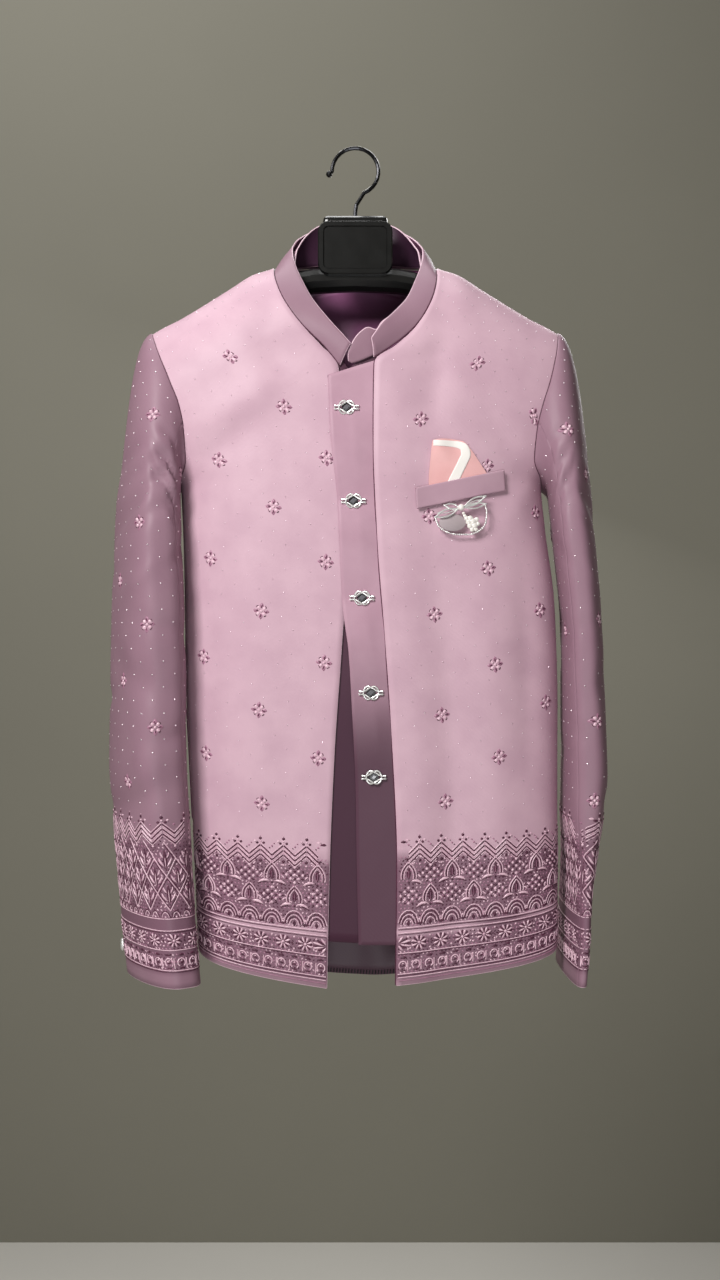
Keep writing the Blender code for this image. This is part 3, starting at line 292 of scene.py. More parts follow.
# The cuff buttons: their height, how far round each sleeve they are, in degrees, and their turned outline.
CUFF_BUTTON_HEIGHT = -838 * MM
CUFF_BUTTON_TURNS = {"right": 318, "left": 300}
CUFF_BUTTON_OUT = 0.6 * MM
CUFF_BUTTON_TURNING = (
    (0, 2.2), (1.6, 2.1), (3.0, 1.7), (3.8, 1.35), (4.3, 1.35), (4.8, 2.1), (5.4, 2.75), (6.0, 2.6),
    (6.4, 1.9),
    (6.5, 1.1), (6.2, 0.4), (5.2, 0.0), (0, 0.0),
)

# The breast welt: its two ends, bottom and top.
WELT = ((62, -386.5, 61, -366.5), (152, -367, 150.5, -347))
WELT_OUT = 2.9 * MM
WELT_COUNTS = (14, 60)
# The square's distance from the front, its pleats' depth and the lengths that turn them, and where they fade.
SQUARE_OUT = 1.2 * MM
SQUARE_PLEAT = 1.2 * MM
PLEAT_LENGTHS = (4.6 * MM, 30 * MM)
SQUARE_TUCK = -340 * MM
TUCK_FADE = 20 * MM
SQUARE_COUNTS = (56, 90)
# The pocket square: bottom and top heights at each place across.
SQUARE_COLUMNS = ("across", "bottom", "top")
SQUARE = (
    (74, -368, -352), (78, -368, -318), (92, -365, -316.5), (108, -361, -319), (118, -359, -329),
    (127, -357, -342), (134, -356, -352),
)
# The square's pale border, which turns down over its fold: across, height and width in millimetres.
SQUARE_BAND = (
    (78.6, -320.6, 5.6), (86, -320.9, 5.6), (95, -321.2, 5.8), (103, -322.2, 6.4), (109.4, -325.4, 8.2),
    (111.2, -331.6, 9.4), (107.8, -340.0, 9.2), (102.4, -351.0, 9.4), (96.4, -363.6, 10.0),
)
SQUARE_BAND_OUT = 0.55 * MM
SQUARE_BAND_CLOTH = 0.45 * MM
SQUARE_BAND_COUNTS = (9, 56)
# How far to either side of a place the front's turn is read.
FACING_STEP = 4 * MM
BROOCH_AT = (106, -386)
BROOCH_OUT = 0.9 * MM

# The placket's knots: one bight's places across, up and over or under, which the other mirrors, its wire, how
# far its middle stands out, the beads at its ends, the stone's half width, height and half height, and the
# dark plate under it, a painted shadow round the knot.
BIGHT = (
    (-11.6, 1.5, 0), (-8.2, 1.5, 0.6), (-5.6, 2.2, 0.3), (-2.7, 4.1, -0.4), (0, 5.6, -0.7), (3.0, 6.5, -0.2),
    (5.7, 5.1, 0.4), (7.2, 2.5, 0.6), (7.6, 0, 0), (7.2, -2.5, -0.6), (5.7, -5.1, -0.4), (3.0, -6.5, 0.2),
    (0, -5.6, 0.7), (-2.7, -4.1, 0.4), (-5.6, -2.2, -0.3), (-8.2, -1.5, -0.6), (-11.6, -1.5, 0),
)
KNOT_WIRE = 0.86
KNOT_SHARP = 25
KNOT_OUT = 1.7
KNOT_ENDS = (1.15, 11.6, 1.3, 1.55)
EYE = (4.6, 1.5, 3.5)
EYE_CORNERS = ((1, 0.35), (0, 1), (-1, -0.35), (0, -1))
EYE_TOP = 0.55
EYE_FOOT = 0.3
KNOT_SHADOW_PLATE = ((0, 0.5), (4.6, 0.5), (4.8, 0.25), (4.6, 0.0), (0, 0.0))

# The brooch's pointed loops: where each ends, how wide it is and its wire, the share of the way where they
# start and how far out they lie; the chain under them, with every third bead larger; the drops by place and
# radius; the smoked plate by place, half width and half height, and its turned outline; and the pearl's
# radius, place and squash.
BOW_LOOPS = (
    ((-17.6, 2.4), 2.6, 0.75), ((-27.0, -9.8), 3.4, 0.85), ((25.4, 12.4), 3.2, 0.85),
    ((25.8, 4.4), 2.6, 0.75),
    ((-24.4, -5.6), 1.6, 0.5), ((21.6, 9.0), 1.5, 0.5),
)
BOW_START = 0.09
BOW_OUT = 1.9
CHAIN = (
    (-26.2, -9.8), (-23.8, -17.0), (-15.5, -23.8), (-4.0, -26.6), (8.0, -26.4), (18.6, -22.4), (25.2, -13.6),
    (26.0, -4.0), (24.2, 4.0),
)
CHAIN_BEADS = 46
CHAIN_OUT = 1.3
CHAIN_SIZES = (1.25, 0.95)
DROP = (
    (2.2, -5.4, 1.4), (3.6, -8.0, 1.6), (5.4, -10.4, 2.2), (9.0, -10.6, 2.7), (7.4, -14.0, 2.6),
    (11.6, -13.4, 3.0),
    (15.4, -11.4, 2.2), (8.8, -17.8, 2.6), (13.2, -17.4, 3.0), (16.8, -15.8, 2.0), (11.0, -21.4, 2.2),
    (14.8, -21.2, 2.0),
)
DROP_SWELL = 1.2
DROP_SQUASH = 0.6
VEIL = (-8.6, -14.6, 13.6, 8.6)
VEIL_TURNING = ((0, 0.55), (0.96, 0.55), (1.0, 0.3), (0.96, 0.05), (0, 0.05))
PEARL = (3.3, (-0.4, -3.2, 0.4), 0.75)

# The overcast stitches over the lining's hem: their height, pitch and reach to either side of its middle.
TICK_HEIGHT = 2.2
TICK_STEP = 3.2
TICK_REACH = 58
TICK_STITCH = (np.array([(-0.3, -2.0), (0, 0), (0.3, 2.6)]), np.array([0.75, 0.8, 0.6]), 0.7)

CAMERA_AT = (0.005, -1.41, -0.518)
CAMERA_LENS = 37.5
CAMERA_SENSOR = 36.0
CAMERA_CLIP = 0.01
# The floor and wall, in metres, and the lights: place, aim, size, power in watts and colour.
FLOOR_Z = -2.33
WALL_Y = 2.6
WALL_TOP = 3.2
STAGE_REACH = 6.5
FLOOR_COLOUR = (0.62, 0.60, 0.56)
WALL_COLOUR = (0.235, 0.225, 0.185)
WORLD_STRENGTH = 0.45
MIDDLE_AIM = (0.0, 0.0, -0.5)
LIGHTS = (
    ("key", (-1.05, -1.75, 0.75), (0.0, 0.0, -0.45), (0.8, 0.8), 60, (1.0, 0.99, 0.97)),
    ("low_fill", (0.2, -2.2, -1.2), MIDDLE_AIM, (0.9, 0.9), 14, (0.97, 0.985, 1.0)),
    ("top", (0.0, 0.15, 1.1), MIDDLE_AIM, (1.2, 0.6), 8, (1, 1, 1)),
    ("back_key", (0.5, 2.2, 0.7), MIDDLE_AIM, (1.7, 1.3), 40, (1, 1, 1)),
    ("wall_light", (-1.0, 0.9, 2.2), (-0.9, WALL_Y, 0.4), (2.6, 0.8), 38, (1, 1, 1)),
)


def unit(vectors):
    return vectors / np.maximum(np.linalg.norm(vectors, axis=-1, keepdims=True), TINY)


def smooth_curve(keys, values):
    """A monotone cubic through the rows of a table."""
    order = np.argsort(keys)
    key = np.array(keys, float)[order]
    value = np.array(values, float)[order]
    step = np.diff(key)
    slope = np.diff(value) / step
    tangent = np.zeros(len(key))
    tangent[0], tangent[-1] = slope[0], slope[-1]
    for i in range(1, len(key) - 1):
        if slope[i - 1] * slope[i] > 0:
            before = 2 * step[i] + step[i - 1]
            after = step[i] + 2 * step[i - 1]
            tangent[i] = (before + after) / (before / slope[i - 1] + after / slope[i])

    def at(place):
        place = np.clip(place, key[0], key[-1])
        i = np.clip(np.searchsorted(key, place) - 1, 0, len(key) - 2)
        s = (place - key[i]) / step[i]
        rise = (1 + 2 * s) * (1 - s) ** 2 * value[i] + s * s * (3 - 2 * s) * value[i + 1]
        return rise + step[i] * (s * (1 - s) ** 2 * tangent[i] - s * s * (1 - s) * tangent[i + 1])

    return at


def profile(table, columns, key, name, unit=MM):
    """One column of a table, in metres, as a smooth function of another: metres too, or rows with unit 1."""
    rows = [row for row in table if row[columns.index(name)] is not None]
    keys = [row[columns.index(key)] * unit for row in rows]
    return smooth_curve(keys, [row[columns.index(name)] * MM for row in rows])


def smooth_path(points, count):
    """Places on a smooth line through a list of points, evenly numbered from its first to its last."""
    place = np.linspace(0, len(points) - 1, count)
    return np.stack([smooth_curve(range(len(points)), axis)(place) for axis in zip(*points)], axis=-1)


MIDDLE = profile(BODY, BODY_COLUMNS, "height", "middle")
HALF_WIDTH = profile(BODY, BODY_COLUMNS, "height", "half_width")
SEAM_Y = profile(BODY, BODY_COLUMNS, "height", "seam_y")
FRONT_DEPTH = profile(BODY, BODY_COLUMNS, "height", "front")
BACK_DEPTH = profile(BODY, BODY_COLUMNS, "height", "back")
SHOULDER_HEIGHT = profile(SHOULDER, SHOULDER_COLUMNS, "across", "height")


def body_y(x, z, front):
    """The body's surface before or behind a place, turned over the shoulder line and round the sides."""
    side = np.clip(np.abs(x - MIDDLE(z)) / HALF_WIDTH(z), 0, 1)
    share = (1 - side ** ROUNDNESS) ** (1 / ROUNDNESS)
    drop = np.maximum(SHOULDER_HEIGHT(np.abs(x)) - z, 0)
    turned = np.clip(drop / (FRONT_TURN if front else BACK_TURN), 0, 1)
    over = np.sqrt(1 - (1 - turned) ** 2)
    if front:
        return SEAM_Y(z) - SEAM_GAP / 2 - FRONT_DEPTH(z) * over * share - relief(x, z, FRONT_CREASES)
    return SEAM_Y(z) + SEAM_GAP / 2 + BACK_DEPTH(z) * over * share + relief(x, z, BACK_CREASES)


def relief(x, z, creases):
    """How far soft creases lift the cloth off the plain form: each is a ridge or trough on a short line."""
    lift = np.zeros(np.broadcast(x, z).shape)
    for row in creases:
        crease = {name: value * MM for name, value in zip(CREASE_COLUMNS, row)}
        run_x, run_z = crease["x1"] - crease["x0"], crease["z1"] - crease["z0"]
        share = ((x - crease["x0"]) * run_x + (z - crease["z0"]) * run_z) / (run_x ** 2 + run_z ** 2)
        share = np.clip(share, 0, 1)
        away = np.hypot(x - crease["x0"] - share * run_x, z - crease["z0"] - share * run_z)
        along = CREASE_ENDS + (1 - CREASE_ENDS) * np.sin(math.pi * share)
        lift = lift + crease["lift"] * np.exp(-(away / crease["half_width"]) ** 2) * along
    return lift


def side_angle(x, z):
    return np.arcsin(np.clip((x - MIDDLE(z)) / HALF_WIDTH(z), -1, 1))


def panel_grid(edge, side, rows, shares, front):
    """Points of a body panel: rows run from its inner edge to its armhole or side seam."""
    edge_x = profile(edge, SEAM_COLUMNS, "row", "across", 1)
    edge_z = profile(edge, SEAM_COLUMNS, "row", "height", 1)
    side_z = profile(side, SEAM_COLUMNS, "row", "height", 1)
    armhole_x = profile(side, SEAM_COLUMNS, "row", "across", 1)
    row = np.asarray(rows, float)[:, None]
    share = np.asarray(shares, float)[None, :]
    start = side_angle(edge_x(row), edge_z(row))
    side_seam = math.copysign(math.pi / 2, side[0][1])
    end = np.where(row < ARMPIT_ROW, side_angle(armhole_x(row), side_z(row)), side_seam)
    # The columns lean over gently by the armpit, and only the last of them reach right round to the side
    # seam.
    above = [float(side_angle(armhole_x(r), side_z(r))) for r in range(ARMPIT_ROW)]
    below = [math.copysign(math.radians(turned), side[0][1]) for turned in SIDE_TURNS]
    lean = smooth_curve(range(len(above) + len(below)), above + below)(row)
    turn = start + (lean - start) * share + (end - lean) * share ** LEAN_POWER
    # Rows by the armpit run level into the side, and the hem rises evenly, with no point at the back's
    # middle.
    hem = share if front else share ** BACK_HEM_POWER
    flat = np.clip((LEVEL_ROWS[1] - row) / np.ptp(LEVEL_ROWS), 0, 1)
    level = hem + (np.sin(share * math.pi / 2) - hem) * flat
    z = edge_z(row) + (side_z(row) - edge_z(row)) * level
    x = MIDDLE(z) + HALF_WIDTH(z) * np.sin(turn)
    # The top rows follow the shoulder line, or the back's neck seam and then the shoulder line.
    top = SHOULDER_HEIGHT(np.abs(x)) if front else back_top(np.abs(x))
    straight = edge_z(row * 0) + (side_z(row * 0) - edge_z(row * 0)) * level
    z = z + (top - straight) * np.clip(1 - row / SHOULDER_ROWS, 0, 1) ** SHOULDER_POWER
    return np.stack([x, body_y(x, z, front), z], axis=-1)


def back_top(across):
    neck = profile(BACK_NECK, SHOULDER_COLUMNS, "across", "height")
    return np.where(across < BACK_NECK[-1][0] * MM, neck(across), SHOULDER_HEIGHT(across))


def grid_normals(points, towards):
    """Unit normals of a grid of points, on the side where a direction or a set of them points."""
    across = np.gradient(points, axis=1)
    down = np.gradient(points, axis=0)
    normal = unit(np.cross(across, down))
    facing = np.sum(normal * np.asarray(towards, float), axis=-1, keepdims=True)
    return np.where(facing < 0, -normal, normal)


def panel_shares(count):
    """Column places, closer towards the side, where the body turns."""
    even = np.linspace(0, 1, count)
    return even + SIDE_CROWDING * np.sin(math.pi * even)


def panel_normals(points, rows, front, sign):
    """Panel normals, with the shoulder's and side's rims square to their seams."""
    normal = grid_normals(points, (0, -1 if front else 1, 0.3))
    slope = np.gradient(points[0], axis=0)
    ridge = np.stack([-slope[:, 2] * np.sign(slope[:, 0]), 0 * slope[:, 1], np.abs(slope[:, 0])], axis=-1)
    shoulder = np.abs(points[0][:, 0]) > (BACK_NECK[-1][0] - 1) * MM
    normal[0][shoulder] = unit(ridge[shoulder])
    below = rows >= ARMPIT_ROW - SAME_ROW
    normal[below, -1] = (sign, 0, 0)
    return normal


def overlap_out(points):
    """How far the left front's edge stands out where it lies over the placket."""
    edge = profile(LEFT_EDGE, SEAM_COLUMNS, "height", "across")
    right = profile(PLACKET, PLACKET_COLUMNS, "height", "right")
    beyond = points[..., 0] - np.maximum(right(points[..., 2]), edge(points[..., 2])) - OVERLAP_FLAT
    fade = np.clip(1 - beyond / OVERLAP_FADE, 0, 1)
    below_neck = np.clip((OVERLAP_TOP - points[..., 2]) / OVERLAP_RAMP, 0, 1)
    return OVERLAP_OUT * fade * fade * (3 - 2 * fade) * below_neck


def strip(base, top, rows, belly):
    """A collar's points between its base and top lines, standing a little proud between them."""
    share = np.linspace(0, 1, rows)[:, None, None]
    out = base + 0.0
    out[:, 2] = 0
    out[:, 1] -= COLLAR_MIDDLE_Y
    return top[None] + (base - top)[None] * share + unit(out)[None] * belly * np.sin(math.pi * share)


def outer_collar_stations():
    """The outer collar's stations from the right front round the back to the left, base on the neck seam."""
    stations = []
    order = list(RIGHT_COLLAR) + list(LEFT_COLLAR[-2::-1])
    turn = len(RIGHT_COLLAR)
    for number, row in enumerate(order):
        station = dict(zip(COLLAR_COLUMNS, row))
        front = min(number, len(order) - 1 - number) <= turn - BACK_STATIONS
        x, z = np.array(station["base_x"] * MM), np.array(station["base_z"] * MM)
        y = float(body_y(x, z, front))
        if number > turn:
            y -= float(overlap_out(np.array([x, 0, z])))
        station["base_y"] = y / MM
        stations.append([station[name] for name in STATION_COLUMNS])
    return stations


def collar_points():
    """The outer collar's base, lifted off the neck seam, and its top, with its normals at both."""
    lines = smooth_path(np.array(outer_collar_stations()) * MM, COLLAR_STATIONS)
    base, top = lines[:, :3], lines[:, 3:]
    lift = unit(top - base)
    inwards = unit(-base * np.array([1, 1, 0]))
    from_end = np.minimum(np.arange(len(base)), np.arange(len(base))[::-1])[:, None]
    raised = COLLAR_LIFT + (COLLAR_END_LIFT - COLLAR_LIFT) * np.clip(1 - from_end / COLLAR_END_STATIONS, 0, 1)
    return base + lift * raised + inwards * COLLAR_LIFT, top


def collar_normals(points):
    return grid_normals(points, points * np.array([1, 1, 0]) + np.array([0, COLLAR_LEAN, 0]))


def armhole(word, front, share):
    """The armhole from the shoulder's tip (0) to the armpit (1) along a panel's edge."""
    edge, side, _, _ = SIDES[word]
    return panel_grid(edge if front else BACK_MIDDLE, side, np.asarray(share) * ARMPIT_ROW, [1.0], front)[:,
                                                                                                          0]


def sleeve_ring(table, height, angle):
    """A point round a sleeve's section: 0 is outward, 90 the front, 180 the body's side and 270 the back."""
    inward = 1 if table[0][1] < 0 else -1
    size = {name: profile(table, SLEEVE_COLUMNS, "height", name)(height) for name in SLEEVE_COLUMNS[1:5]}
    turn = np.radians(profile(table, SLEEVE_COLUMNS, "height", "turn")(height) / MM)
    along = size["long"] * np.sin(angle)
    out = size["short"] * np.sign(np.cos(angle)) * np.abs(np.cos(angle)) ** SECTION_BLUNTNESS
    x = size["x"] + inward * (along * np.sin(turn) - out * np.cos(turn))
    y = size["y"] - along * np.cos(turn) - out * np.sin(turn)
    return np.stack(np.broadcast_arrays(x, y, height), axis=-1)


def sleeve_grid(word, angles):
    """A sleeve's points: a head that leaves the armhole outwards, then the arm down to the cuff."""
    _, _, table, outward = SIDES[word]
    head_rows, arm_rows = SLEEVE_DOWN
    angle = np.radians(angles)
    share = np.where(angles <= 180, angles / 180, (360 - angles) / 180)
    start = np.where((angles <= 180)[:, None], armhole(word, True, share), armhole(word, False, share))
    start = start + np.array([outward * ARMHOLE_GAP, 0, 0])
    end = sleeve_ring(table, np.full(len(angle), SLEEVE_TOP), angle)
    open_share = np.cos(angle / 2) ** 2
    reach = (HEAD_REACH[0] * open_share + HEAD_REACH[1] * (1 - open_share))[:, None]
    out, tip, forward, down = HEAD_LEAN
    lean = np.stack([outward * (out + tip * open_share), -forward * np.sin(angle), -down + 0 * angle],
                    axis=-1)
    first = start + unit(lean) * reach
    drop = (start[:, 2:] - end[:, 2:]) * HEAD_DROP
    inset = -outward * HEAD_INSET * open_share[:, None]
    last = end + np.concatenate([inset, 0 * drop, drop], axis=-1)
    s = (np.linspace(0, 1, head_rows) ** HEAD_SPACING)[:, None, None]
    head = (1 - s) ** 3 * start + 3 * s * (1 - s) ** 2 * first + 3 * s * s * (1 - s) * last + s ** 3 * end
    heights = np.linspace(SLEEVE_TOP, SLEEVE_END, arm_rows)[1:, None]
    arm = sleeve_ring(table, heights + 0 * angle[None, :], angle[None, :] + 0 * heights)
    return np.concatenate([head, arm])


def fold_depth(points, angles):
    """How far the largest folds press the sleeve in."""
    depth = np.zeros(points.shape[:2])
    for row in SLEEVE_FOLDS:
        fold = dict(zip(FOLD_COLUMNS, row))
        away = angles[None, :] - fold["round"]
        line = (fold["height"] + fold["slope"] * away) * MM
        across = (points[..., 2] - line) / (fold["half_width"] * MM)
        round_share = np.exp(-(((away + 180) % 360 - 180) / fold["spread"]) ** 2)
        depth += fold["depth"] * MM * np.exp(-across ** 2) * round_share
    return depth


def sleeve_normals(word, angles):
    """Normals of the whole sleeve at some angles, the same for two pieces that meet there."""
    before = sleeve_grid(word, (angles - NORMAL_STEP) % 360)
    after = sleeve_grid(word, (angles + NORMAL_STEP) % 360)
    middle = (before + after) / 2
    normal = unit(np.cross(after - before, np.gradient(middle, axis=0)))
    return SIDES[word][3] * normal


# How much of the hem's rise the border's upper rows leave out, and the height from which they do so fully.
HEM_EASE = 0.8
BORDER_HEIGHT = 150.0
# A point whose normal's Y is over this faces away from the camera, and is put out of reach by this many
# millimetres.
TURNED_AWAY = 0.25
OUT_OF_REACH = 1000
# How far stitches stay from a cloth's side edges and from its top, in millimetres.
SIDE_MARGIN = 0.8
TOP_MARGIN = 2.5


class Chart:
    """A cloth's outer surface charted in millimetres: along from a starting line, up from its lower edge."""

    def __init__(self, points, normals, start=0.0):
        self.points, self.normals = points, normals
        steps = np.linalg.norm(np.diff(points[-1], axis=0), axis=1) / MM
        self.along = np.concatenate([[0.0], np.cumsum(steps)])
        self.along -= np.interp(start * len(steps), np.arange(len(self.along)), self.along)
        rises = np.linalg.norm(np.diff(points, axis=0), axis=2) / MM
        up = np.zeros(points.shape[:2])
        up[:-1] = np.cumsum(rises[::-1], axis=0)[::-1]
        self.height = up[0]
        self.up = up
        hem = points[-1][:, 2]
        self.rise = HEM_EASE * (hem - hem.min()) / MM
        self.levels = np.arange(0, up.max() + 1, 1.0)
        self.row_at = np.stack([
            np.interp(self.levels, up[::-1, j], np.arange(len(points))[::-1]) for j in range(points.shape[1])
        ], axis=1)

    def lowered(self, along, up):
        """Where a border's height is sewn: its upper rows run straighter than the rising hem."""
        rise = np.interp(along, self.along, self.rise)
        return up - rise * np.clip(up / BORDER_HEIGHT, 0, 1)

    def border_height(self, along, up):
        rise = np.interp(along, self.along, self.rise)
        return np.where(up < BORDER_HEIGHT - rise, up / (1 - rise / BORDER_HEIGHT), up + rise)

    def find(self, x, z):
        """The chart place of the front-facing point nearest to x and z, and how far off it is, both in mm."""
        away = np.hypot(self.points[..., 0] / MM - x, self.points[..., 2] / MM - z)
        away = away + OUT_OF_REACH * (self.normals[..., 1] > TURNED_AWAY)
        row, col = np.unravel_index(away.argmin(), away.shape)
        return self.along[col], self.up[row, col], away[row, col]

    def rows_cols(self, along, up):
        col = np.clip(np.interp(along, self.along, np.arange(len(self.along))), 0, len(self.along) - 1.001)
        level = np.clip(up, 0, len(self.levels) - 1.001)
        a, b = level.astype(int), col.astype(int)
        fa, fb = level - a, col - b
        low = self.row_at[a, b] * (1 - fb) + self.row_at[a, b + 1] * fb
        high = self.row_at[a + 1, b] * (1 - fb) + self.row_at[a + 1, b + 1] * fb
        return np.clip(low * (1 - fa) + high * fa, 0, len(self.points) - 1.001), col

    def at(self, along, up):
        row, col = self.rows_cols(along, up)
        a, b = row.astype(int), col.astype(int)
        fa, fb = (row - a)[..., None], (col - b)[..., None]

        def blend(grid):
            return ((grid[a, b] * (1 - fb) + grid[a, b + 1] * fb) * (1 - fa)
                    + (grid[a + 1, b] * (1 - fb) + grid[a + 1, b + 1] * fb) * fa)

        return blend(self.points), unit(blend(self.normals))

    def widening(self, along, up):
        """How much wider the cloth is there than along its lower edge, so that motifs keep their shape."""
        here, _ = self.at(along - 1, up)
        there, _ = self.at(along + 1, up)
        return np.maximum(np.linalg.norm(there - here, axis=-1) / (2 * MM), 0.3)


# The meshes' fineness: rows above and below the armpit, columns of a front and of half the back, round each
# sleeve piece, down a sleeve's head and arm, and along and across the collars.
FINE_ROWS = np.concatenate([np.arange(0, 6, 0.16), np.arange(6, 12.001, 0.075)])
ARMHOLE_ROWS = 36
FRONT_COLUMNS = 64
BACK_COLUMNS = 56
SLEEVE_ROUND = {"topsleeve": 68, "undersleeve": 42}
SLEEVE_DOWN = (30, 88)
COLLAR_ALONG = 150
COLLAR_ACROSS = 14
EDGE_BULGE = 0.35
WIRE_SHARP = 60


def linked(name, data):
    obj = bpy.data.objects.new(name, data)
    bpy.context.scene.collection.objects.link(obj)
    return obj


def baked(shape, name):
    """A mesh from a bmesh, which ends with it."""
    mesh = bpy.data.meshes.new(name)
    shape.to_mesh(mesh)
    shape.free()
    return mesh


def smoothed(mesh, sharp):
    mesh.shade_smooth()
    mesh.set_sharp_from_angle(angle=math.radians(sharp))


def grid_faces(rows, cols, offset=0):
    place = np.arange(rows * cols).reshape(rows, cols) + offset
    return np.stack([place[:-1, :-1], place[:-1, 1:], place[1:, 1:], place[1:, :-1]], axis=-1).reshape(-1, 4)


def mesh_from(name, points, quads, looks, choice=None, sharp=WIRE_SHARP):
    """An object from points and four-cornered faces, with one material or one for each face."""
    mesh = bpy.data.meshes.new(name)
    mesh.vertices.add(len(points))
    mesh.vertices.foreach_set("co", np.ascontiguousarray(points, dtype=np.float32).ravel())
    mesh.loops.add(quads.size)
    mesh.loops.foreach_set("vertex_index", np.ascontiguousarray(quads, dtype=np.int32).ravel())
    mesh.polygons.add(len(quads))
    mesh.polygons.foreach_set("loop_start", np.arange(0, quads.size, 4, dtype=np.int32))
    for look in looks:
        mesh.materials.append(look)
    if choice is not None:
        mesh.polygons.foreach_set("material_index", np.ascontiguousarray(choice, dtype=np.int32))
    mesh.update(calc_edges=True)
    mesh.validate()
    smoothed(mesh, sharp)
    return linked(name, mesh)


def shell(name, outer, normals, thickness, look, chart=None, ground_and_shade=None, inside=None):
    """A closed thin cloth between its outer points and the same points moved in, with rounded edges.

    Its inner side may have a look of its own. With a chart it carries its flat cut as "cut" and a share of
    deeper tone as an attribute: a border's darker ground and painted shade.
    """
    rows, cols = outer.shape[:2]
    inner = outer - normals * thickness
    count = rows * cols
    place = np.arange(count).reshape(rows, cols)
    border = np.concatenate([place[0, :-1], place[:-1, -1], place[-1, :0:-1], place[:0:-1, 0]])
    inward = np.concatenate([place[1, :-1], place[:-1, -2], place[-2, :0:-1], place[:0:-1, 1]])
    flat_outer, flat_inner = outer.reshape(-1, 3), inner.reshape(-1, 3)
    away = unit(flat_outer[border] - flat_outer[inward])
    edge = (flat_outer[border] + flat_inner[border]) / 2 + away * thickness * EDGE_BULGE
    points = np.concatenate([flat_outer, flat_inner, edge])
    front, back = grid_faces(rows, cols), grid_faces(rows, cols, count)[:, ::-1]
    after = np.roll(border, -1)
    rim = 2 * count + np.arange(len(border))
    rim_after = np.roll(rim, -1)
    ring = np.concatenate([
        np.stack([after, border, rim, rim_after], axis=1),
        np.stack([rim_after, rim, border + count, after + count], axis=1),
    ])
    quads = np.concatenate([front, back, ring])
    a, b, c = (flat_outer[front[:, k]] for k in (0, 1, 3))
    facing_out = np.sum(np.cross(b - a, c - a) * normals.reshape(-1, 3)[front[:, 0]], axis=1)
    if facing_out.mean() < 0:
        quads = quads[:, ::-1]
    side = np.zeros(len(quads), dtype=int)
    side[len(front):2 * len(front)] = 1
    obj = mesh_from(name, points, quads, [look, inside or look], side)
    mesh = obj.data
    if chart is not None:
        up = np.zeros((rows, cols))
        up[:-1] = np.cumsum((np.linalg.norm(np.diff(outer, axis=0), axis=2))[::-1], axis=0)[::-1]
        across = np.broadcast_to(chart.along[None] * MM, (rows, cols))
        flat = np.stack([across, up], axis=-1).reshape(-1, 2)
        flat = np.concatenate([flat, flat, flat[border]])
        layer = mesh.uv_layers.new(name="cut")
        corners = np.empty(len(mesh.loops), dtype=np.int32)
        mesh.loops.foreach_get("vertex_index", corners)
        layer.data.foreach_set("uv", np.ascontiguousarray(flat[corners], dtype=np.float32).ravel())
        shade = np.zeros(len(flat), dtype=np.float32)
        if ground_and_shade is not None:
            along, height = flat[:, 0] / MM, flat[:, 1] / MM
            shade = ground_and_shade(along, chart.border_height(along, height)).astype(np.float32)
        mesh.attributes.new("ground_and_shade", "FLOAT", "POINT").data.foreach_set("value", shade)
    return obj


def tube_mesh(name, path, radius, cyclic=False, resolution=3):
    """A swept wire with welded caps; radius is one value or one for each point."""
    curve = bpy.data.curves.new(name, "CURVE")
    curve.dimensions = "3D"
    curve.bevel_depth = 1.0
    curve.bevel_resolution = resolution
    curve.use_fill_caps = True
    spline = curve.splines.new("POLY")
    spline.points.add(len(path) - 1)
    radii = np.broadcast_to(radius, len(path))
    for point, place, size in zip(spline.points, path, radii):
        point.co = (*place, 1)
        point.radius = size
    spline.use_cyclic_u = cyclic
    holder = linked(name, curve)
    bpy.context.view_layer.update()
    mesh = bpy.data.meshes.new_from_object(holder.evaluated_get(bpy.context.evaluated_depsgraph_get()))
    bpy.data.objects.remove(holder, do_unlink=True)
    bpy.data.curves.remove(curve)
    welded = bmesh.new()
    welded.from_mesh(mesh)
    bmesh.ops.remove_doubles(welded, verts=welded.verts, dist=1e-7)
    bmesh.ops.recalc_face_normals(welded, faces=welded.faces)
    welded.to_mesh(mesh)
    welded.free()
    smoothed(mesh, WIRE_SHARP)
    return mesh


def joined(name, meshes, looks, sharp=WIRE_SHARP):
    """One object from several meshes, each with its own look."""
    whole = bmesh.new()
    materials = []
    for mesh, look in zip(meshes, looks):
        if look not in materials:
            materials.append(look)
        for polygon in mesh.polygons:
            polygon.material_index = materials.index(look)
        whole.from_mesh(mesh)
    mesh = baked(whole, name)
    for look in materials:
        mesh.materials.append(look)
    smoothed(mesh, sharp)
    return linked(name, mesh)


# Looks


def new_material(name, colour, roughness, metallic=0.0, **settings):
    made = bpy.data.materials.new(name)
    made.use_nodes = True
    shader = made.node_tree.nodes["Principled BSDF"]
    shader.inputs["Base Color"].default_value = (*colour, 1)
    shader.inputs["Roughness"].default_value = roughness
    shader.inputs["Metallic"].default_value = metallic
    for key, value in settings.items():
        socket = shader.inputs[key.replace("_", " ")]
        socket.default_value = (*value, 1) if isinstance(value, tuple) else value
    return made


def add_node(made, kind, **settings):
    node = made.node_tree.nodes.new(kind)
    for key, value in settings.items():
        if hasattr(node, key):
            setattr(node, key, value)
        else:
            node.inputs[key.replace("_", " ")].default_value = value
    return node


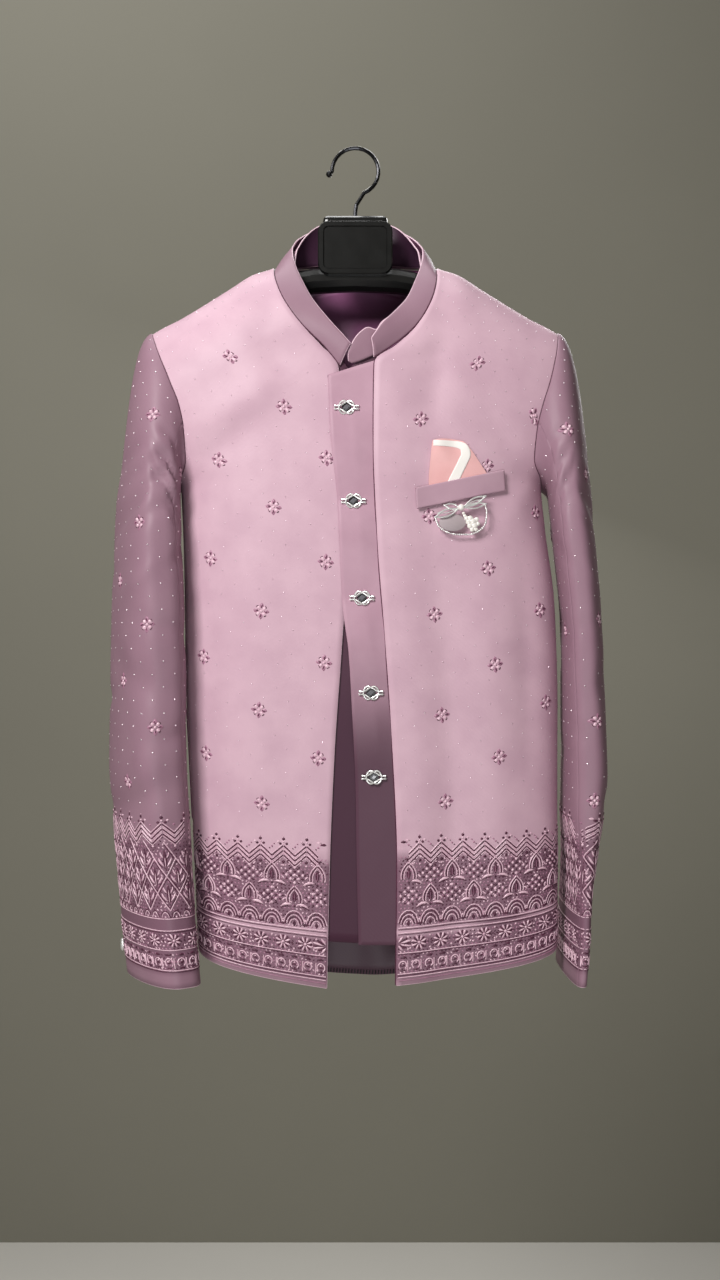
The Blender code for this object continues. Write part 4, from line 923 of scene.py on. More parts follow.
def mottle(made, colour, shade, scale, low=0.35, high=0.65, detail=4.0):
    """Varies the base colour softly between two near tones over the object."""
    tree = made.node_tree
    place = add_node(made, "ShaderNodeTexCoord")
    noise = add_node(made, "ShaderNodeTexNoise", Scale=scale, Detail=detail)
    ramp = add_node(made, "ShaderNodeValToRGB")
    ramp.color_ramp.elements[0].position, ramp.color_ramp.elements[1].position = low, high
    ramp.color_ramp.elements[0].color = (*shade, 1)
    ramp.color_ramp.elements[1].color = (*colour, 1)
    tree.links.new(place.outputs["Object"], noise.inputs["Vector"])
    tree.links.new(noise.outputs["Fac"], ramp.inputs["Fac"])
    tree.links.new(ramp.outputs["Color"], tree.nodes["Principled BSDF"].inputs["Base Color"])
    return ramp


def bump(made, height, strength, distance):
    node = add_node(made, "ShaderNodeBump", Strength=strength, Distance=distance)
    made.node_tree.links.new(height, node.inputs["Height"])
    shader = made.node_tree.nodes["Principled BSDF"]
    if shader.inputs["Normal"].is_linked:
        made.node_tree.links.new(shader.inputs["Normal"].links[0].from_socket, node.inputs["Normal"])
    made.node_tree.links.new(node.outputs["Normal"], shader.inputs["Normal"])


def satin(name, colour, shade, roughness, ground_and_shade=None, weave=2600.0, **settings):
    """Satin: soft mottling, a fine diagonal weave laid by the cut, faint slubs, maybe a darker ground and
    painted shade.
    """
    made = new_material(name, colour, roughness, **settings)
    tree = made.node_tree
    ramp = mottle(made, colour, shade, 26.0)
    if ground_and_shade is not None:
        mask = add_node(made, "ShaderNodeAttribute", attribute_name="ground_and_shade")
        mix = add_node(made, "ShaderNodeMix", data_type="RGBA")
        mix.inputs[7].default_value = (*ground_and_shade, 1)
        tree.links.new(mask.outputs["Fac"], mix.inputs[0])
        tree.links.new(ramp.outputs["Color"], mix.inputs[6])
        tree.links.new(mix.outputs[2], tree.nodes["Principled BSDF"].inputs["Base Color"])
    cut = add_node(made, "ShaderNodeUVMap", uv_map="cut")
    threads = add_node(made, "ShaderNodeTexWave", Scale=weave / 20, bands_direction="DIAGONAL",
                       Distortion=1.5)
    slubs = add_node(made, "ShaderNodeTexNoise", Scale=420.0, Detail=2.0)
    tree.links.new(cut.outputs["UV"], threads.inputs["Vector"])
    tree.links.new(cut.outputs["UV"], slubs.inputs["Vector"])
    bump(made, threads.outputs["Fac"], 0.12, 0.00012)
    bump(made, slubs.outputs["Fac"], 0.25, 0.0002)
    return made


# Each kind of surface: its mottle's scale and detail, and its fine bump's scale, detail, strength and depth
# in metres.
GRAINS = {
    "thread": (260.0, 2.0, 2200.0, 1.0, 0.4, 0.0002),
    "metal": (300.0, 4.0, 900.0, 2.0, 0.15, 0.0001),
    "plastic": (60.0, 4.0, 1500.0, 3.0, 0.08, 0.0001),
}


def grained(kind, name, colour, shade, roughness, scale=None, metallic=0.0, **settings):
    """A mottled material with a fine bump; scale takes the place of its kind's mottle."""
    patches, detail, fine, fine_detail, strength, depth = GRAINS[kind]
    made = new_material(name, colour, roughness, metallic, **settings)
    mottle(made, colour, shade, scale or patches, detail=detail)
    place = add_node(made, "ShaderNodeTexCoord")
    grain = add_node(made, "ShaderNodeTexNoise", Scale=fine, Detail=fine_detail)
    made.node_tree.links.new(place.outputs["Object"], grain.inputs["Vector"])
    bump(made, grain.outputs["Fac"], strength, depth)
    return made


# The deepest tone of the embroidered satin: the borders' darker ground, and painted shade over the sleeves,
# the outer collar and the welt.
DEEP_GROUND_AND_SHADE = (0.175, 0.085, 0.125)
LOOK = {
    "outer": satin("outer_satin", (0.59, 0.388, 0.468), (0.53, 0.338, 0.418), 0.50, ground_and_shade=DEEP_GROUND_AND_SHADE,
                   Specular_IOR_Level=0.32),
    # The inner satin's and the lining's ground colours are painted shade.
    "inner": satin("inner_satin", (0.54, 0.335, 0.42), (0.49, 0.295, 0.375), 0.42,
                   ground_and_shade=(0.060, 0.022, 0.040), Specular_IOR_Level=0.14),
    "lining": satin("lining_satin", (0.27, 0.088, 0.205), (0.21, 0.064, 0.155), 0.42,
                    ground_and_shade=(0.075, 0.034, 0.052),
                    weave=3600.0, Specular_IOR_Level=0.3),
    # The inner collar's inside is near black: painted shade inside the neck.
    "neck": satin("neck_shade_satin", (0.045, 0.016, 0.036), (0.03, 0.010, 0.024), 0.45, Specular_IOR_Level=0.2),
    "square": satin("square_satin", (0.80, 0.46, 0.46), (0.74, 0.39, 0.39), 0.5),
    "smoke": satin("smoked_plate", (0.40, 0.33, 0.35), (0.34, 0.28, 0.30), 0.5),
    "square_white": satin("square_border", (0.90, 0.86, 0.83), (0.84, 0.80, 0.77), 0.5),
    "piping": grained("thread", "piping_cord", (0.72, 0.50, 0.59), (0.62, 0.41, 0.50), 0.4),
    "light": grained("thread", "thread_light", (0.77, 0.53, 0.62), (0.62, 0.39, 0.48), 0.32),
    "middle": grained("thread", "thread_middle", (0.40, 0.19, 0.28), (0.33, 0.15, 0.23), 0.38),
    "dark": grained("thread", "thread_dark", (0.105, 0.030, 0.058), (0.065, 0.018, 0.038), 0.42,
                    Specular_IOR_Level=0.3),
    "tick": grained("thread", "thread_tick", (0.012, 0.006, 0.010), (0.008, 0.004, 0.007), 0.5),
    "sequin": grained("metal", "sequin_silver", (1.0, 0.90, 0.95), (0.9, 0.78, 0.85), 0.30, 900.0, 1.0),
    "silver": grained("metal", "bright_silver", (0.97, 0.97, 0.96), (0.84, 0.84, 0.83), 0.30, metallic=0.7),
    "stone": new_material("centre_stone", (0.14, 0.14, 0.155), 0.12, Coat_Weight=1.0),
    # The knots' plate is near black: a painted shadow round each knot.
    "plate": new_material("knot_shadow_plate", (0.016, 0.014, 0.016), 0.35),
    "pearl": new_material("pearl", (0.84, 0.80, 0.76), 0.18, Coat_Weight=0.6),
    "hanger": grained("plastic", "hanger_plastic", (0.009, 0.009, 0.009), (0.006, 0.006, 0.006), 0.22),
    "hook": grained("metal", "hook_gunmetal", (0.055, 0.055, 0.06), (0.03, 0.03, 0.033), 0.24, 150.0, 1.0),
}


# Stitches: each is a short raised thread with its own path, width and tone, laid at many places at once.

# A stitch's section as shares of its half width and rise, and its tones.
RING = np.array([(-1.0, -0.1), (-0.46, 0.94), (0.46, 0.94), (1.0, -0.1)])
TONES = ("light", "middle", "dark", "sequin", "tick")


def line(x0, y0, x1, y1, width, tone, rise=0.5):
    count = max(2, int(math.hypot(x1 - x0, y1 - y0) / 5) + 2)
    share = np.linspace(0, 1, count)
    path = np.stack([x0 + (x1 - x0) * share, y0 + (y1 - y0) * share], axis=1)
    return path, np.full(count, width / 2), rise, tone


def leaf(x0, y0, x1, y1, width, tone, rise=0.8, bend=0.0):
    """A satin-stitched leaf or petal, pointed at both ends and bent to one side."""
    share = np.linspace(0, 1, 5)
    side = np.array([-(y1 - y0), x1 - x0]) / max(math.hypot(x1 - x0, y1 - y0), 1e-6)
    path = np.stack([x0 + (x1 - x0) * share, y0 + (y1 - y0) * share], axis=1)
    path = path + side * bend * np.sin(math.pi * share)[:, None]
    return path, width / 2 * np.array([0.12, 0.78, 1.0, 0.74, 0.1]), rise, tone


def arc(x, y, across, up, start, end, width, tone, rise=0.55, count=8):
    turn = np.radians(np.linspace(start, end, count))
    path = np.stack([x + across * np.cos(turn), y + up * np.sin(turn)], axis=1)
    return path, np.full(count, width / 2), rise, tone


def dot(x, y, radius, tone, rise=0.8):
    path = np.array([(x - 0.8 * radius, y), (x, y), (x + 0.8 * radius, y)])
    return path, radius * np.array([0.45, 1.0, 0.45]), rise, tone


def shifted(strokes, x, y, turn=0.0):
    c, s = math.cos(math.radians(turn)), math.sin(math.radians(turn))
    return [(path @ np.array([(c, s), (-s, c)]) + np.array([x, y]), width, rise, tone)
            for path, width, rise, tone in strokes]


class Needlework:
    """All stitches of one piece, gathered into a single mesh."""

    def __init__(self, chart):
        self.chart = chart
        self.low, self.high = chart.along[0], chart.along[-1]
        self.points, self.quads, self.tones, self.count = [], [], [], 0

    def sew(self, centres, strokes, fitted=True, eased=True):
        """Sews the strokes at each centre, leaving out those that would cross the cloth's side edges."""
        centres = np.asarray(centres, float).reshape(-1, 2)
        if not len(centres):
            return
        widening = self.chart.widening(centres[:, 0], centres[:, 1]) if fitted else np.ones(len(centres))
        for path, width, rise, tone in strokes:
            along = centres[:, :1] + path[None, :, 0] / widening[:, None]
            up = centres[:, 1:] + path[None, :, 1]
            if eased:
                up = self.chart.lowered(along, up)
            inside = along.min(axis=1) > self.low + SIDE_MARGIN
            inside &= along.max(axis=1) < self.high - SIDE_MARGIN
            inside &= (up < np.interp(along, self.chart.along, self.chart.height) - TOP_MARGIN).all(axis=1)
            if inside.any():
                self.lay(along[inside], up[inside], width * MM, rise * MM, TONES.index(tone))

    def lay(self, along, up, width, rise, tone):
        middle, normal = self.chart.at(along, up)
        run = np.gradient(middle, axis=1)
        side = unit(np.cross(normal, run))
        share = (width / width.max())[None, :, None, None]
        ring = (middle[:, :, None] + side[:, :, None] * RING[:, 0, None] * width[None, :, None, None]
                + normal[:, :, None] * RING[:, 1, None] * rise * np.sqrt(share))
        many, steps, round_it = ring.shape[:3]
        start = self.count + np.arange(many)[:, None, None] * steps * round_it
        step = np.arange(steps - 1)[None, :, None] * round_it
        k = np.arange(round_it)[None, None, :]
        after = (k + 1) % round_it
        sides = np.stack(np.broadcast_arrays(
            start + step + k, start + step + after, start + step + round_it + after,
            start + step + round_it + k,
        ), axis=-1).reshape(-1, 4)
        first = start.reshape(-1, 1)
        last = first + (steps - 1) * round_it
        caps = np.concatenate([first + [0, 3, 2, 1], last + [0, 1, 2, 3]])
        quads = np.concatenate([sides, caps])
        self.points.append(ring.reshape(-1, 3))
        self.quads.append(quads)
        self.tones.append(np.full(len(quads), tone))
        self.count += many * steps * round_it

    def made(self, name):
        quads = np.concatenate(self.quads)[:, ::-1]
        return mesh_from(name, np.concatenate(self.points), quads, [LOOK[tone] for tone in TONES],
                         np.concatenate(self.tones), sharp=80)


# Motifs, in millimetres about their own middle


def trail(points, width, tone, rise=0.55):
    """A corded line through given points, smoothed between them."""
    path = smooth_path(points, 2 * len(points) - 1)
    return path, np.full(len(path), width / 2), rise, tone


def mirrored(strokes):
    return strokes + [(path * np.array([-1, 1]), width, rise, tone) for path, width, rise, tone in strokes]


def butti():
    """A small flower of four plum lozenges and four light ones in a diamond, about 17 mm across."""
    strokes = []
    for turn in (0, 90, 180, 270):
        lozenge = [leaf(0, 2.7, 0, 8.3, 4.4, "middle", 0.6), leaf(0.2, 2.9, -0.7, 6.9, 1.8, "dark", 1.0)]
        light = [leaf(0, 1.9, 0, 6.6, 4.0, "light", 1.0), leaf(-1.7, 6.0, 1.7, 6.6, 1.3, "dark", 0.6)]
        strokes += shifted(lozenge, 0, 0, turn) + shifted(light, 0, 0, turn + 45)
    return strokes + [dot(0, 0, 1.7, "light", 1.1)]


def cluster(radius=8.0):
    """Nine light knots in a diamond with plum dots between them."""
    step = radius / 2
    strokes = []
    for a in (-1, 0, 1):
        for b in (-1, 0, 1):
            strokes.append(dot((a - b) * step, (a + b) * step, 1.75, "light", 1.0))
    for a in (-0.5, 0.5):
        for b in (-0.5, 0.5):
            strokes.append(dot((a - b) * step, (a + b) * step, 1.5, "dark", 0.7))
    for a, b in ((-1.5, -0.5), (-1.5, 0.5), (1.5, -0.5), (1.5, 0.5), (-0.5, -1.5), (0.5, -1.5), (-0.5, 1.5),
                 (0.5, 1.5)):
        strokes.append(dot((a - b) * step, (a + b) * step, 1.25, "dark", 0.7))
    return strokes


def chevrons(peak, valley, half):
    """Nested zigzags, each a plum cord between two light ones."""
    strokes = []
    for offset in ZIGZAGS:
        for sign in (-1, 1):
            for drop, width, tone in ZIGZAG_CORDS:
                low = valley + offset + drop
                strokes.append(line(sign * 0.35, peak + offset + drop, sign * (half - 0.15), low, width,
                                    tone))
    return strokes


def finial(height):
    """Three plum knots with a light one among them, over a zigzag's peak."""
    return [dot(0, height, 1.75, "dark"), dot(-3.1, height - 4.9, 1.55, "dark"),
            dot(3.1, height - 4.9, 1.55, "dark"),
            dot(0, height - 3.2, 1.1, "light"), dot(5.2, height - 2.9, 1.3, "light"),
            dot(0, height + 2.6, 0.55, "light")]


def bud(base):
    """A pointed double arch over a long plum bud, with a broad drooping leaf at each side."""
    outer = trail([(7.4, 1.0), (7.8, 4), (7.2, 8.5), (5.0, 13), (2.4, 16.2), (0.3, 18.6)], 1.3, "light", 0.9)
    shade = trail([(6.2, 1.0), (6.5, 4), (5.9, 8.3), (4.0, 12.2), (1.8, 15), (0.3, 16.6)], 1.1, "dark", 0.6)
    inner = trail([(4.6, 1.0), (4.8, 4), (4.2, 8), (2.6, 11.6), (0.3, 14.6)], 1.2, "light", 0.9)
    side = [leaf(2.0, -1.2, 14.4, -4.4, 3.0, "light", 0.9, 1.9),
            leaf(3.5, -3.4, 13.8, -5.6, 1.7, "dark", 0.6, 1.5),
            leaf(9.0, 5.4, 12.4, 1.6, 1.9, "light", 0.8, 0.6),
            leaf(9.2, 8.2, 13.0, 6.4, 1.6, "dark", 0.6, 0.5)]
    strokes = mirrored([outer, shade, inner] + side)
    strokes += [leaf(0, 0.6, 0, 13.4, 4.6, "dark", 0.8), line(0, 2.2, 0, 9.4, 0.8, "middle", 1.0),
                dot(0, -2.6, 1.3, "dark")]
    return shifted(strokes, 0, base)


def star(height, reach=7.8):
    """Eight plum petals edged by light ones round a bright bead."""
    strokes = []
    for step in range(8):
        strokes += shifted([leaf(0, 2.0, 0, reach, 3.2, "dark", 0.75)], 0, 0, 45 * step)
        strokes += shifted([leaf(0, 1.8, 0, reach + 0.4, 2.5, "light", 0.95)], 0, 0, 45 * step + 22.5)
    return shifted(strokes + [dot(0, 0, 1.6, "light", 1.2)], 0, height)


def curl(height):
    """A round light curl on a short stem, with plum lenses inside, above and under it."""
    return [arc(-0.6, height, 4.0, 4.4, -50, 230, 1.3, "light", 0.9, count=9),
            leaf(-2.8, height - 0.6, 1.8, height + 0.4, 2.3, "dark", 0.7),
            line(4.6, height - 5.6, 4.6, height + 4.6, 1.2, "light", 0.9),
            leaf(-3.6, height - 5.6, 2.6, height - 5.0, 1.9, "dark", 0.6),
            dot(-0.4, height + 2.0, 1.0, "light", 0.9),
            leaf(-3.4, height + 7.8, 3.4, height + 8.3, 2.8, "dark", 0.75)]


def scallop(base, across, up):
    """Three nested light arches with plum between them and a plum bud inside."""
    strokes = []
    for share, width, tone in ARCHES:
        strokes.append(arc(0, base, across * share, up * share, 12, 168, width, tone, count=10))
    return strokes + [leaf(0, base - 0.4, 0, base + 0.36 * up, 0.34 * across, "dark", 0.7)]


def net_cell(low, high, half):
    """One cell of a diagonal lattice, with a leafy sprig in its middle."""
    middle, reach = (low + high) / 2, (high - low) / 2
    strokes = []
    for sign in (-1, 1):
        for start, end in ((low, middle), (high, middle)):
            strokes.append(line(0, start, sign * half, end, 1.2, "light"))
            strokes.append(line(0, start + (2.6 if start < end else -2.6), sign * (half - 1.6), end, 1.1,
                                "dark"))
    strokes += [leaf(0, low + 0.30 * reach, 0, middle + 0.55 * reach, 4.2, "dark", 0.6),
                leaf(0, low + 0.40 * reach, 0, middle + 0.30 * reach, 1.4, "light", 1.0)]
    for sign in (-1, 1):
        strokes.append(leaf(sign * 1.6, middle - 0.42 * reach, sign * 0.62 * half, middle + 0.05 * reach, 2.3,
                            "light", 0.8, -sign * 0.7))
        strokes.append(leaf(sign * 2.4, middle - 0.52 * reach, sign * 0.72 * half, middle - 0.10 * reach, 1.5,
                            "dark", 0.6, -sign * 0.7))
        strokes.append(leaf(sign * 1.4, middle + 0.02 * reach, sign * 0.42 * half, middle + 0.40 * reach, 1.8,
                            "light", 0.8, -sign * 0.6))
    return strokes


# The border's repeat along a hem and a cuff, the plain strips inside it, and where its slightly deeper ground
# starts.
HEM_PERIOD = 22.5
HEM_PLAIN = ((52.5, 59.0), (0, 4.0))
HEM_GROUND_TOP = 134
CUFF_PERIOD = 21.0
CUFF_PLAIN = ((0, 16.5),)
CUFF_GROUND_TOP = 150
CURL_PERIOD = 13.5
SCATTER_RISE = 101.0
# Over how many millimetres a border's ground and a plain strip in it fade.
GROUND_FADE = 6
PLAIN_FADE = 0.8
# Where a border has its grain of short slanted stitches, and its corded lines: height, width and tone.
HEM_GRAIN = ((13, 31), (34, 51), (61, 134))
HEM_LINES = (
    (58.6, 1.2, "light"), (57.0, 0.8, "dark"), (53.4, 1.2, "light"), (51.8, 0.8, "dark"),
    (32.6, 1.0, "light"),
    (31.2, 0.7, "dark"), (11.2, 1.0, "light"), (9.6, 0.9, "dark"), (7.6, 0.9, "light"), (4.4, 0.7, "middle"),
)
CUFF_GRAIN = ((20, 37), (40, 57), (72, 156))
CUFF_LINES = (
    (70, 1.1, "light"), (58, 1.1, "light"), (56.4, 0.8, "dark"), (38.4, 1.1, "light"), (18, 1.1, "light"),
    (16.4, 0.8, "dark"),
)
# The hem border's motifs from the top down: heights, and dots by place, radius and tone. Buds and clusters
# change places at every second repeat.
HEM_ZIGZAG = (146.0, 135.5)
HEM_FINIAL = 151.5
HEM_PEAK_DOTS = (
    (0, 127.5, 1.9, "dark"), (-4.6, 129.0, 1.1, "dark"), (4.6, 129.0, 1.1, "dark"),
    (0, 123.8, 1.2, "light"), (-5.6, 125.0, 1.0, "light"), (5.6, 125.0, 1.0, "light"),
)
HEM_VALLEY_DOTS = ((0, 143.6, 1.2, "middle"), (-2.2, 146.4, 0.9, "middle"), (2.2, 141.6, 0.8, "dark"))
HEM_BUDS = (107.5, 84.0)
HEM_CLUSTERS = (91.5, 114.0)
HEM_SCALLOP = (60.5, 10.6, 16.0)
HEM_LEAF = (-4.2, 62.6, 4.2, 62.6, 3.2, "dark", 0.7)
HEM_LEAF_DOTS = ((0, 66.8, 1.2, "light"), (0, 70.6, 0.9, "dark"))
HEM_STAR = 42.5
HEM_STAR_DOTS = (
    (0, 49.0, 1.2, "light"), (0, 36.6, 1.2, "light"), (-2.2, 42.5, 1.0, "dark"), (2.2, 42.5, 1.0, "dark"),
)
HEM_CURL = 20.0
# The cuff border's, with the lower ends of its three rows of net and one cell's height.
CUFF_ZIGZAG = (167.5, 157.5)
CUFF_FINIAL = 172.5
CUFF_VALLEY_DOTS = ((0, 165.0, 1.2, "middle"), (0, 143.0, 1.3, "light"), (0, 139.4, 1.2, "dark"))
CUFF_NET = (78, 95.5, 113)
NET_HEIGHT = 35
CUFF_SCALLOP = (70.5, 4.8, 8.5)
CUFF_SCALLOP_DOT = (0, 72.0, 1.1, "light")
CUFF_STAR = (48, 6.6)
CUFF_STAR_DOTS = ((0, 53.0, 1.1, "light"), (0, 43.0, 1.1, "light"), (0, 48, 1.1, "dark"))
CUFF_CURL = 26.0
CUFF_CURL_PERIOD = 12.5
# The drop of each of a border's nested zigzags, and of the cords in one: drop, width and tone.
ZIGZAGS = (0, -5.0, -10.0)
ZIGZAG_CORDS = ((0, 1.1, "light"), (-1.7, 1.5, "dark"), (-3.3, 1.0, "light"))
# A scallop's nested arches: share of its size, width and tone.
ARCHES = ((1.0, 1.1, "light"), (0.87, 1.3, "dark"), (0.73, 1.0, "light"), (0.60, 1.3, "dark"),
          (0.46, 1.1, "light"))
# The grain: its pitch along and up, its slant in degrees, one stitch, and the tones it goes through.
GRAIN = (3.9, 3.5)
GRAIN_SLANT = 48
GRAIN_SHIFT = 1.9
GRAIN_STITCH = (np.array([(-1.25, 0.0), (0.0, 0.0), (1.25, 0.0)]), np.array([0.25, 0.8, 0.2]), 0.34)
GRAIN_TONES = ("dark", "middle", "dark", "light", "middle", "dark", "light", "middle")
# How near a charted flower lies to its place, how far flowers stay from side edges and the top, what faces
# back on a sleeve, and how far sequins stay from a flower.
FLOWER_REACH = 7
FLOWER_MARGIN = 9
COLUMN_MARGIN = 12
COLUMN_TOP = 14
FACES_BACK = 0.35
SEQUIN_CLEAR = 12
# The scattered sequins of body and sleeves: the lowest row, radius and spacing; and the columns of flowers
# where the photograph shows none: pitch, how many to either side, and the heights that two neighbours start
# from.
BODY_SEQUINS = (166, 0.6, (22, 12))
SLEEVE_SEQUINS = (186, 0.95, (20, 13))
BACK_FLOWERS = (60.0, 4, (225, 175))
SLEEVE_FLOWERS = (42.0, 6, (201, 252))


def tone_of(top, plain, deep, rest=0.0):
    """A share of deeper tone at each place of a cloth: deep inside its border for its darker ground, and rest
    elsewhere as painted shade.
    """
    def share(_, height):
        shade = np.clip((top - height) / GROUND_FADE, 0, 1)
        for low, high in plain:
            above = np.clip((height - low) / PLAIN_FADE + 0.5, 0, 1)
            below = np.clip((high - height) / PLAIN_FADE + 0.5, 0, 1)
            shade = shade * (1 - above * below)
        return rest + (deep - rest) * shade
    return share


# The same share of painted shade all over a cloth.
def even_painted_shade(rest):
    return lambda along, height: np.full(np.shape(height), rest)


def low_painted_shade(rest, deep, start, end):
    """Painted shade, deeper towards a cloth's lower edge, where the light doesn't reach plain inner satin."""
    def share(_, height):
        fall = np.clip((start - height) / (start - end), 0, 1)
        return rest + (deep - rest) * fall * fall * (3 - 2 * fall)
    return share


def spots(low, high, period, phase=0.0):
    """Places every period along a cloth, counted from its starting line."""
    first = math.ceil((low - phase) / period)
    return [phase + period * k for k in range(first, math.floor((high - phase) / period) + 1)]


def across_row(work, period, phase=0.0):
    return [(x, 0) for x in spots(work.low, work.high, period, phase)]


def sew_lines(work, rows):
    """Unbroken corded lines along the whole cloth."""
    low, high = work.low + 1.0, work.high - 1.0
    place = np.linspace(low, high, int((high - low) / 4) + 2)
    for height, width, tone in rows:
        path = np.stack([place, np.full(len(place), height)], axis=1)
        work.sew([(0, 0)], [(path, np.full(len(place), width / 2), 0.55, tone)], fitted=False)


def sew_grain(work, low, high):
    """Rows of short slanted stitches between two heights of a border, under its motifs."""
    for number, tone in enumerate(GRAIN_TONES):
        for turn in (-GRAIN_SLANT, GRAIN_SLANT):
            places = []
            for row, height in enumerate(np.arange(low, high, GRAIN[1])):
                if (row % 2) == (turn > 0):
                    along = spots(work.low, work.high, GRAIN[0], GRAIN_SHIFT * (row % 3))
                    places += [(x, height) for k, x in enumerate(along)
                               if (3 * k + 5 * row) % len(GRAIN_TONES) == number]
            work.sew(places, shifted([(*GRAIN_STITCH, tone)], 0, 0, turn), fitted=False)


def dots(rows):
    return [dot(*row) for row in rows]


def sew_hem_border(work):
    half = HEM_PERIOD / 2
    for low, high in HEM_GRAIN:
        sew_grain(work, low, high)
    peaks = across_row(work, HEM_PERIOD)
    valleys = across_row(work, HEM_PERIOD, half)
    odd = across_row(work, 2 * HEM_PERIOD, half)
    even = across_row(work, 2 * HEM_PERIOD, 3 * half)
    work.sew(peaks, chevrons(*HEM_ZIGZAG, half) + finial(HEM_FINIAL))
    work.sew(peaks, dots(HEM_PEAK_DOTS))
    work.sew(valleys, dots(HEM_VALLEY_DOTS))
    for places, bud_height, cluster_height in zip((odd, even), HEM_BUDS, HEM_CLUSTERS):
        work.sew(places, bud(bud_height) + shifted(cluster(), 0, cluster_height))
    work.sew(valleys, scallop(*HEM_SCALLOP))
    work.sew(peaks, [leaf(*HEM_LEAF), *dots(HEM_LEAF_DOTS)])
    work.sew(peaks, star(HEM_STAR))
    work.sew(valleys, dots(HEM_STAR_DOTS))
    work.sew(across_row(work, CURL_PERIOD, CURL_PERIOD / 2), curl(HEM_CURL))
    sew_lines(work, HEM_LINES)


def sew_cuff_border(work):
    half = CUFF_PERIOD / 2
    for low, high in CUFF_GRAIN:
        sew_grain(work, low, high)
    peaks = across_row(work, CUFF_PERIOD)
    valleys = across_row(work, CUFF_PERIOD, half)
    work.sew(peaks, chevrons(*CUFF_ZIGZAG, half) + finial(CUFF_FINIAL))
    work.sew(valleys, dots(CUFF_VALLEY_DOTS))
    low, middle, high = [net_cell(height, height + NET_HEIGHT, half) for height in CUFF_NET]
    work.sew(peaks, low)
    work.sew(valleys, middle)
    work.sew(peaks, high[4:])
    work.sew(across_row(work, half, half / 2), scallop(*CUFF_SCALLOP)[1:3] + [dot(*CUFF_SCALLOP_DOT)])
    work.sew(peaks, star(*CUFF_STAR))
    work.sew(valleys, dots(CUFF_STAR_DOTS))
    work.sew(across_row(work, CUFF_CURL_PERIOD, CUFF_CURL_PERIOD / 2), curl(CUFF_CURL))
    sew_lines(work, CUFF_LINES)


# The flowers that show, across and up in millimetres, from the photograph.
FLOWERS = {
    "outer_front_right": (
        (-28, -438), (-34, -539), (-36, -639), (-72, -283), (-82, -386), (-93, -486), (-97, -588),
        (-95, -684),
        (-127, -231), (-137, -336), (-147, -437), (-155, -537), (-153, -633), (-30, -338), (-72, -183),
    ),
    "outer_front_left": (
        (65, -294), (75, -391), (79, -495), (87, -594), (92, -686), (122, -240), (133, -343), (134, -444),
        (141, -541),
        (144, -635), (182, -290), (186, -386), (190, -485), (195, -583), (70, -196),
    ),
    "sleeve_right": (
        (-215, -400), (-207, -505), (-236, -559), (-198, -607), (-229, -661), (-173, -348), (-241, -457),
        (-204, -292),
    ),
    "sleeve_left": (
        (213, -306), (208, -408), (213, -510), (245, -499), (220, -608), (243, -598), (236, -352),
        (240, -680),
    ),
}


def flower_places(work, node):
    """The chart places of the flowers drawn for this side that lie on this cloth."""
    found = [work.chart.find(x, z) for x, z in FLOWERS.get(node, ())]
    low, high = work.low + FLOWER_MARGIN, work.high - FLOWER_MARGIN
    return [(along, up) for along, up, away in found if away < FLOWER_REACH and low < along < high]


def behind(work, places):
    """The places on a sleeve that face back, where the photograph shows nothing."""
    if not places:
        return []
    flat = np.array(places)
    _, normal = work.chart.at(flat[:, 0], flat[:, 1])
    return [place for place, out in zip(places, normal[:, 1]) if out > FACES_BACK]


def even_places(work, columns, shift=0.0):
    """Flowers in staggered straight columns."""
    pitch, reach, starts = columns
    tallest = float(work.chart.height.max())
    places = []
    for k in range(-reach, reach + 1):
        x, first = pitch * k + shift, starts[k % 2]
        if work.low + COLUMN_MARGIN < x < work.high - COLUMN_MARGIN:
            top = np.interp(x, work.chart.along, work.chart.height) - COLUMN_TOP
            places += [(x, y) for y in spots(first - 1, tallest, SCATTER_RISE, first) if y < top]
    return places


def sew_scatter(work, flowers, lowest, radius, spacing):
    """Flowers at their places, and sequins in a finer staggered lattice that keeps clear of them."""
    work.sew(flowers, butti(), eased=False)
    places = []
    for row, y in enumerate(np.arange(lowest, float(work.chart.height.max()), spacing[1])):
        places += [(x, y) for x in spots(work.low, work.high, spacing[0], spacing[0] / 2 * (row % 2))]
    places, flowers = np.array(places), np.array(flowers)
    if len(flowers):
        away = np.hypot(*(places[:, None] - flowers[None]).transpose(2, 0, 1)).min(axis=1)
        places = places[away > SEQUIN_CLEAR]
    work.sew(places, [dot(0, 0, radius, "sequin", 0.6)], eased=False)


# Cloth pieces


def front_panel(word):
    edge, side, _, sign = SIDES[word]
    points = panel_grid(edge, side, FINE_ROWS, panel_shares(FRONT_COLUMNS), True)
    if word == "left":
        points[..., 1] -= overlap_out(points)
    return points, panel_normals(points, FINE_ROWS, True, sign)


def both_halves(halves):
    """One grid from the right half and the left, which share their first column."""
    return np.concatenate([halves[0][:, :0:-1], halves[1]], axis=1)


def back_panel():
    halves, normals = [], []
    for word in SIDES:
        _, side, _, sign = SIDES[word]
        half = panel_grid(BACK_MIDDLE, side, FINE_ROWS, panel_shares(BACK_COLUMNS), False)
        halves.append(half)
        normals.append(panel_normals(half, FINE_ROWS, False, sign))
    normal = both_halves(normals)
    normal[:, BACK_COLUMNS - 1] = unit(normals[0][:, 0] + normals[1][:, 0])
    return both_halves(halves), normal


def sleeve_piece(piece, word):
    seam = SLEEVE_SEAM_ROW * 180 / ARMPIT_ROW
    first, last = (-seam, seam) if piece == "topsleeve" else (seam, 360 - seam)
    angles = np.linspace(first + SEAM_TURN_GAP, last - SEAM_TURN_GAP, SLEEVE_ROUND[piece])
    points = sleeve_grid(word, angles % 360)
    normal = sleeve_normals(word, angles)
    fade = np.clip(np.arange(len(points)) / FOLD_FADE_ROWS, 0, 1)
    press = fold_depth(points, (angles + 180) % 360 - 180) * FOLD_STRENGTH[word] * fade[:, None]
    return points - normal * press[..., None], normal


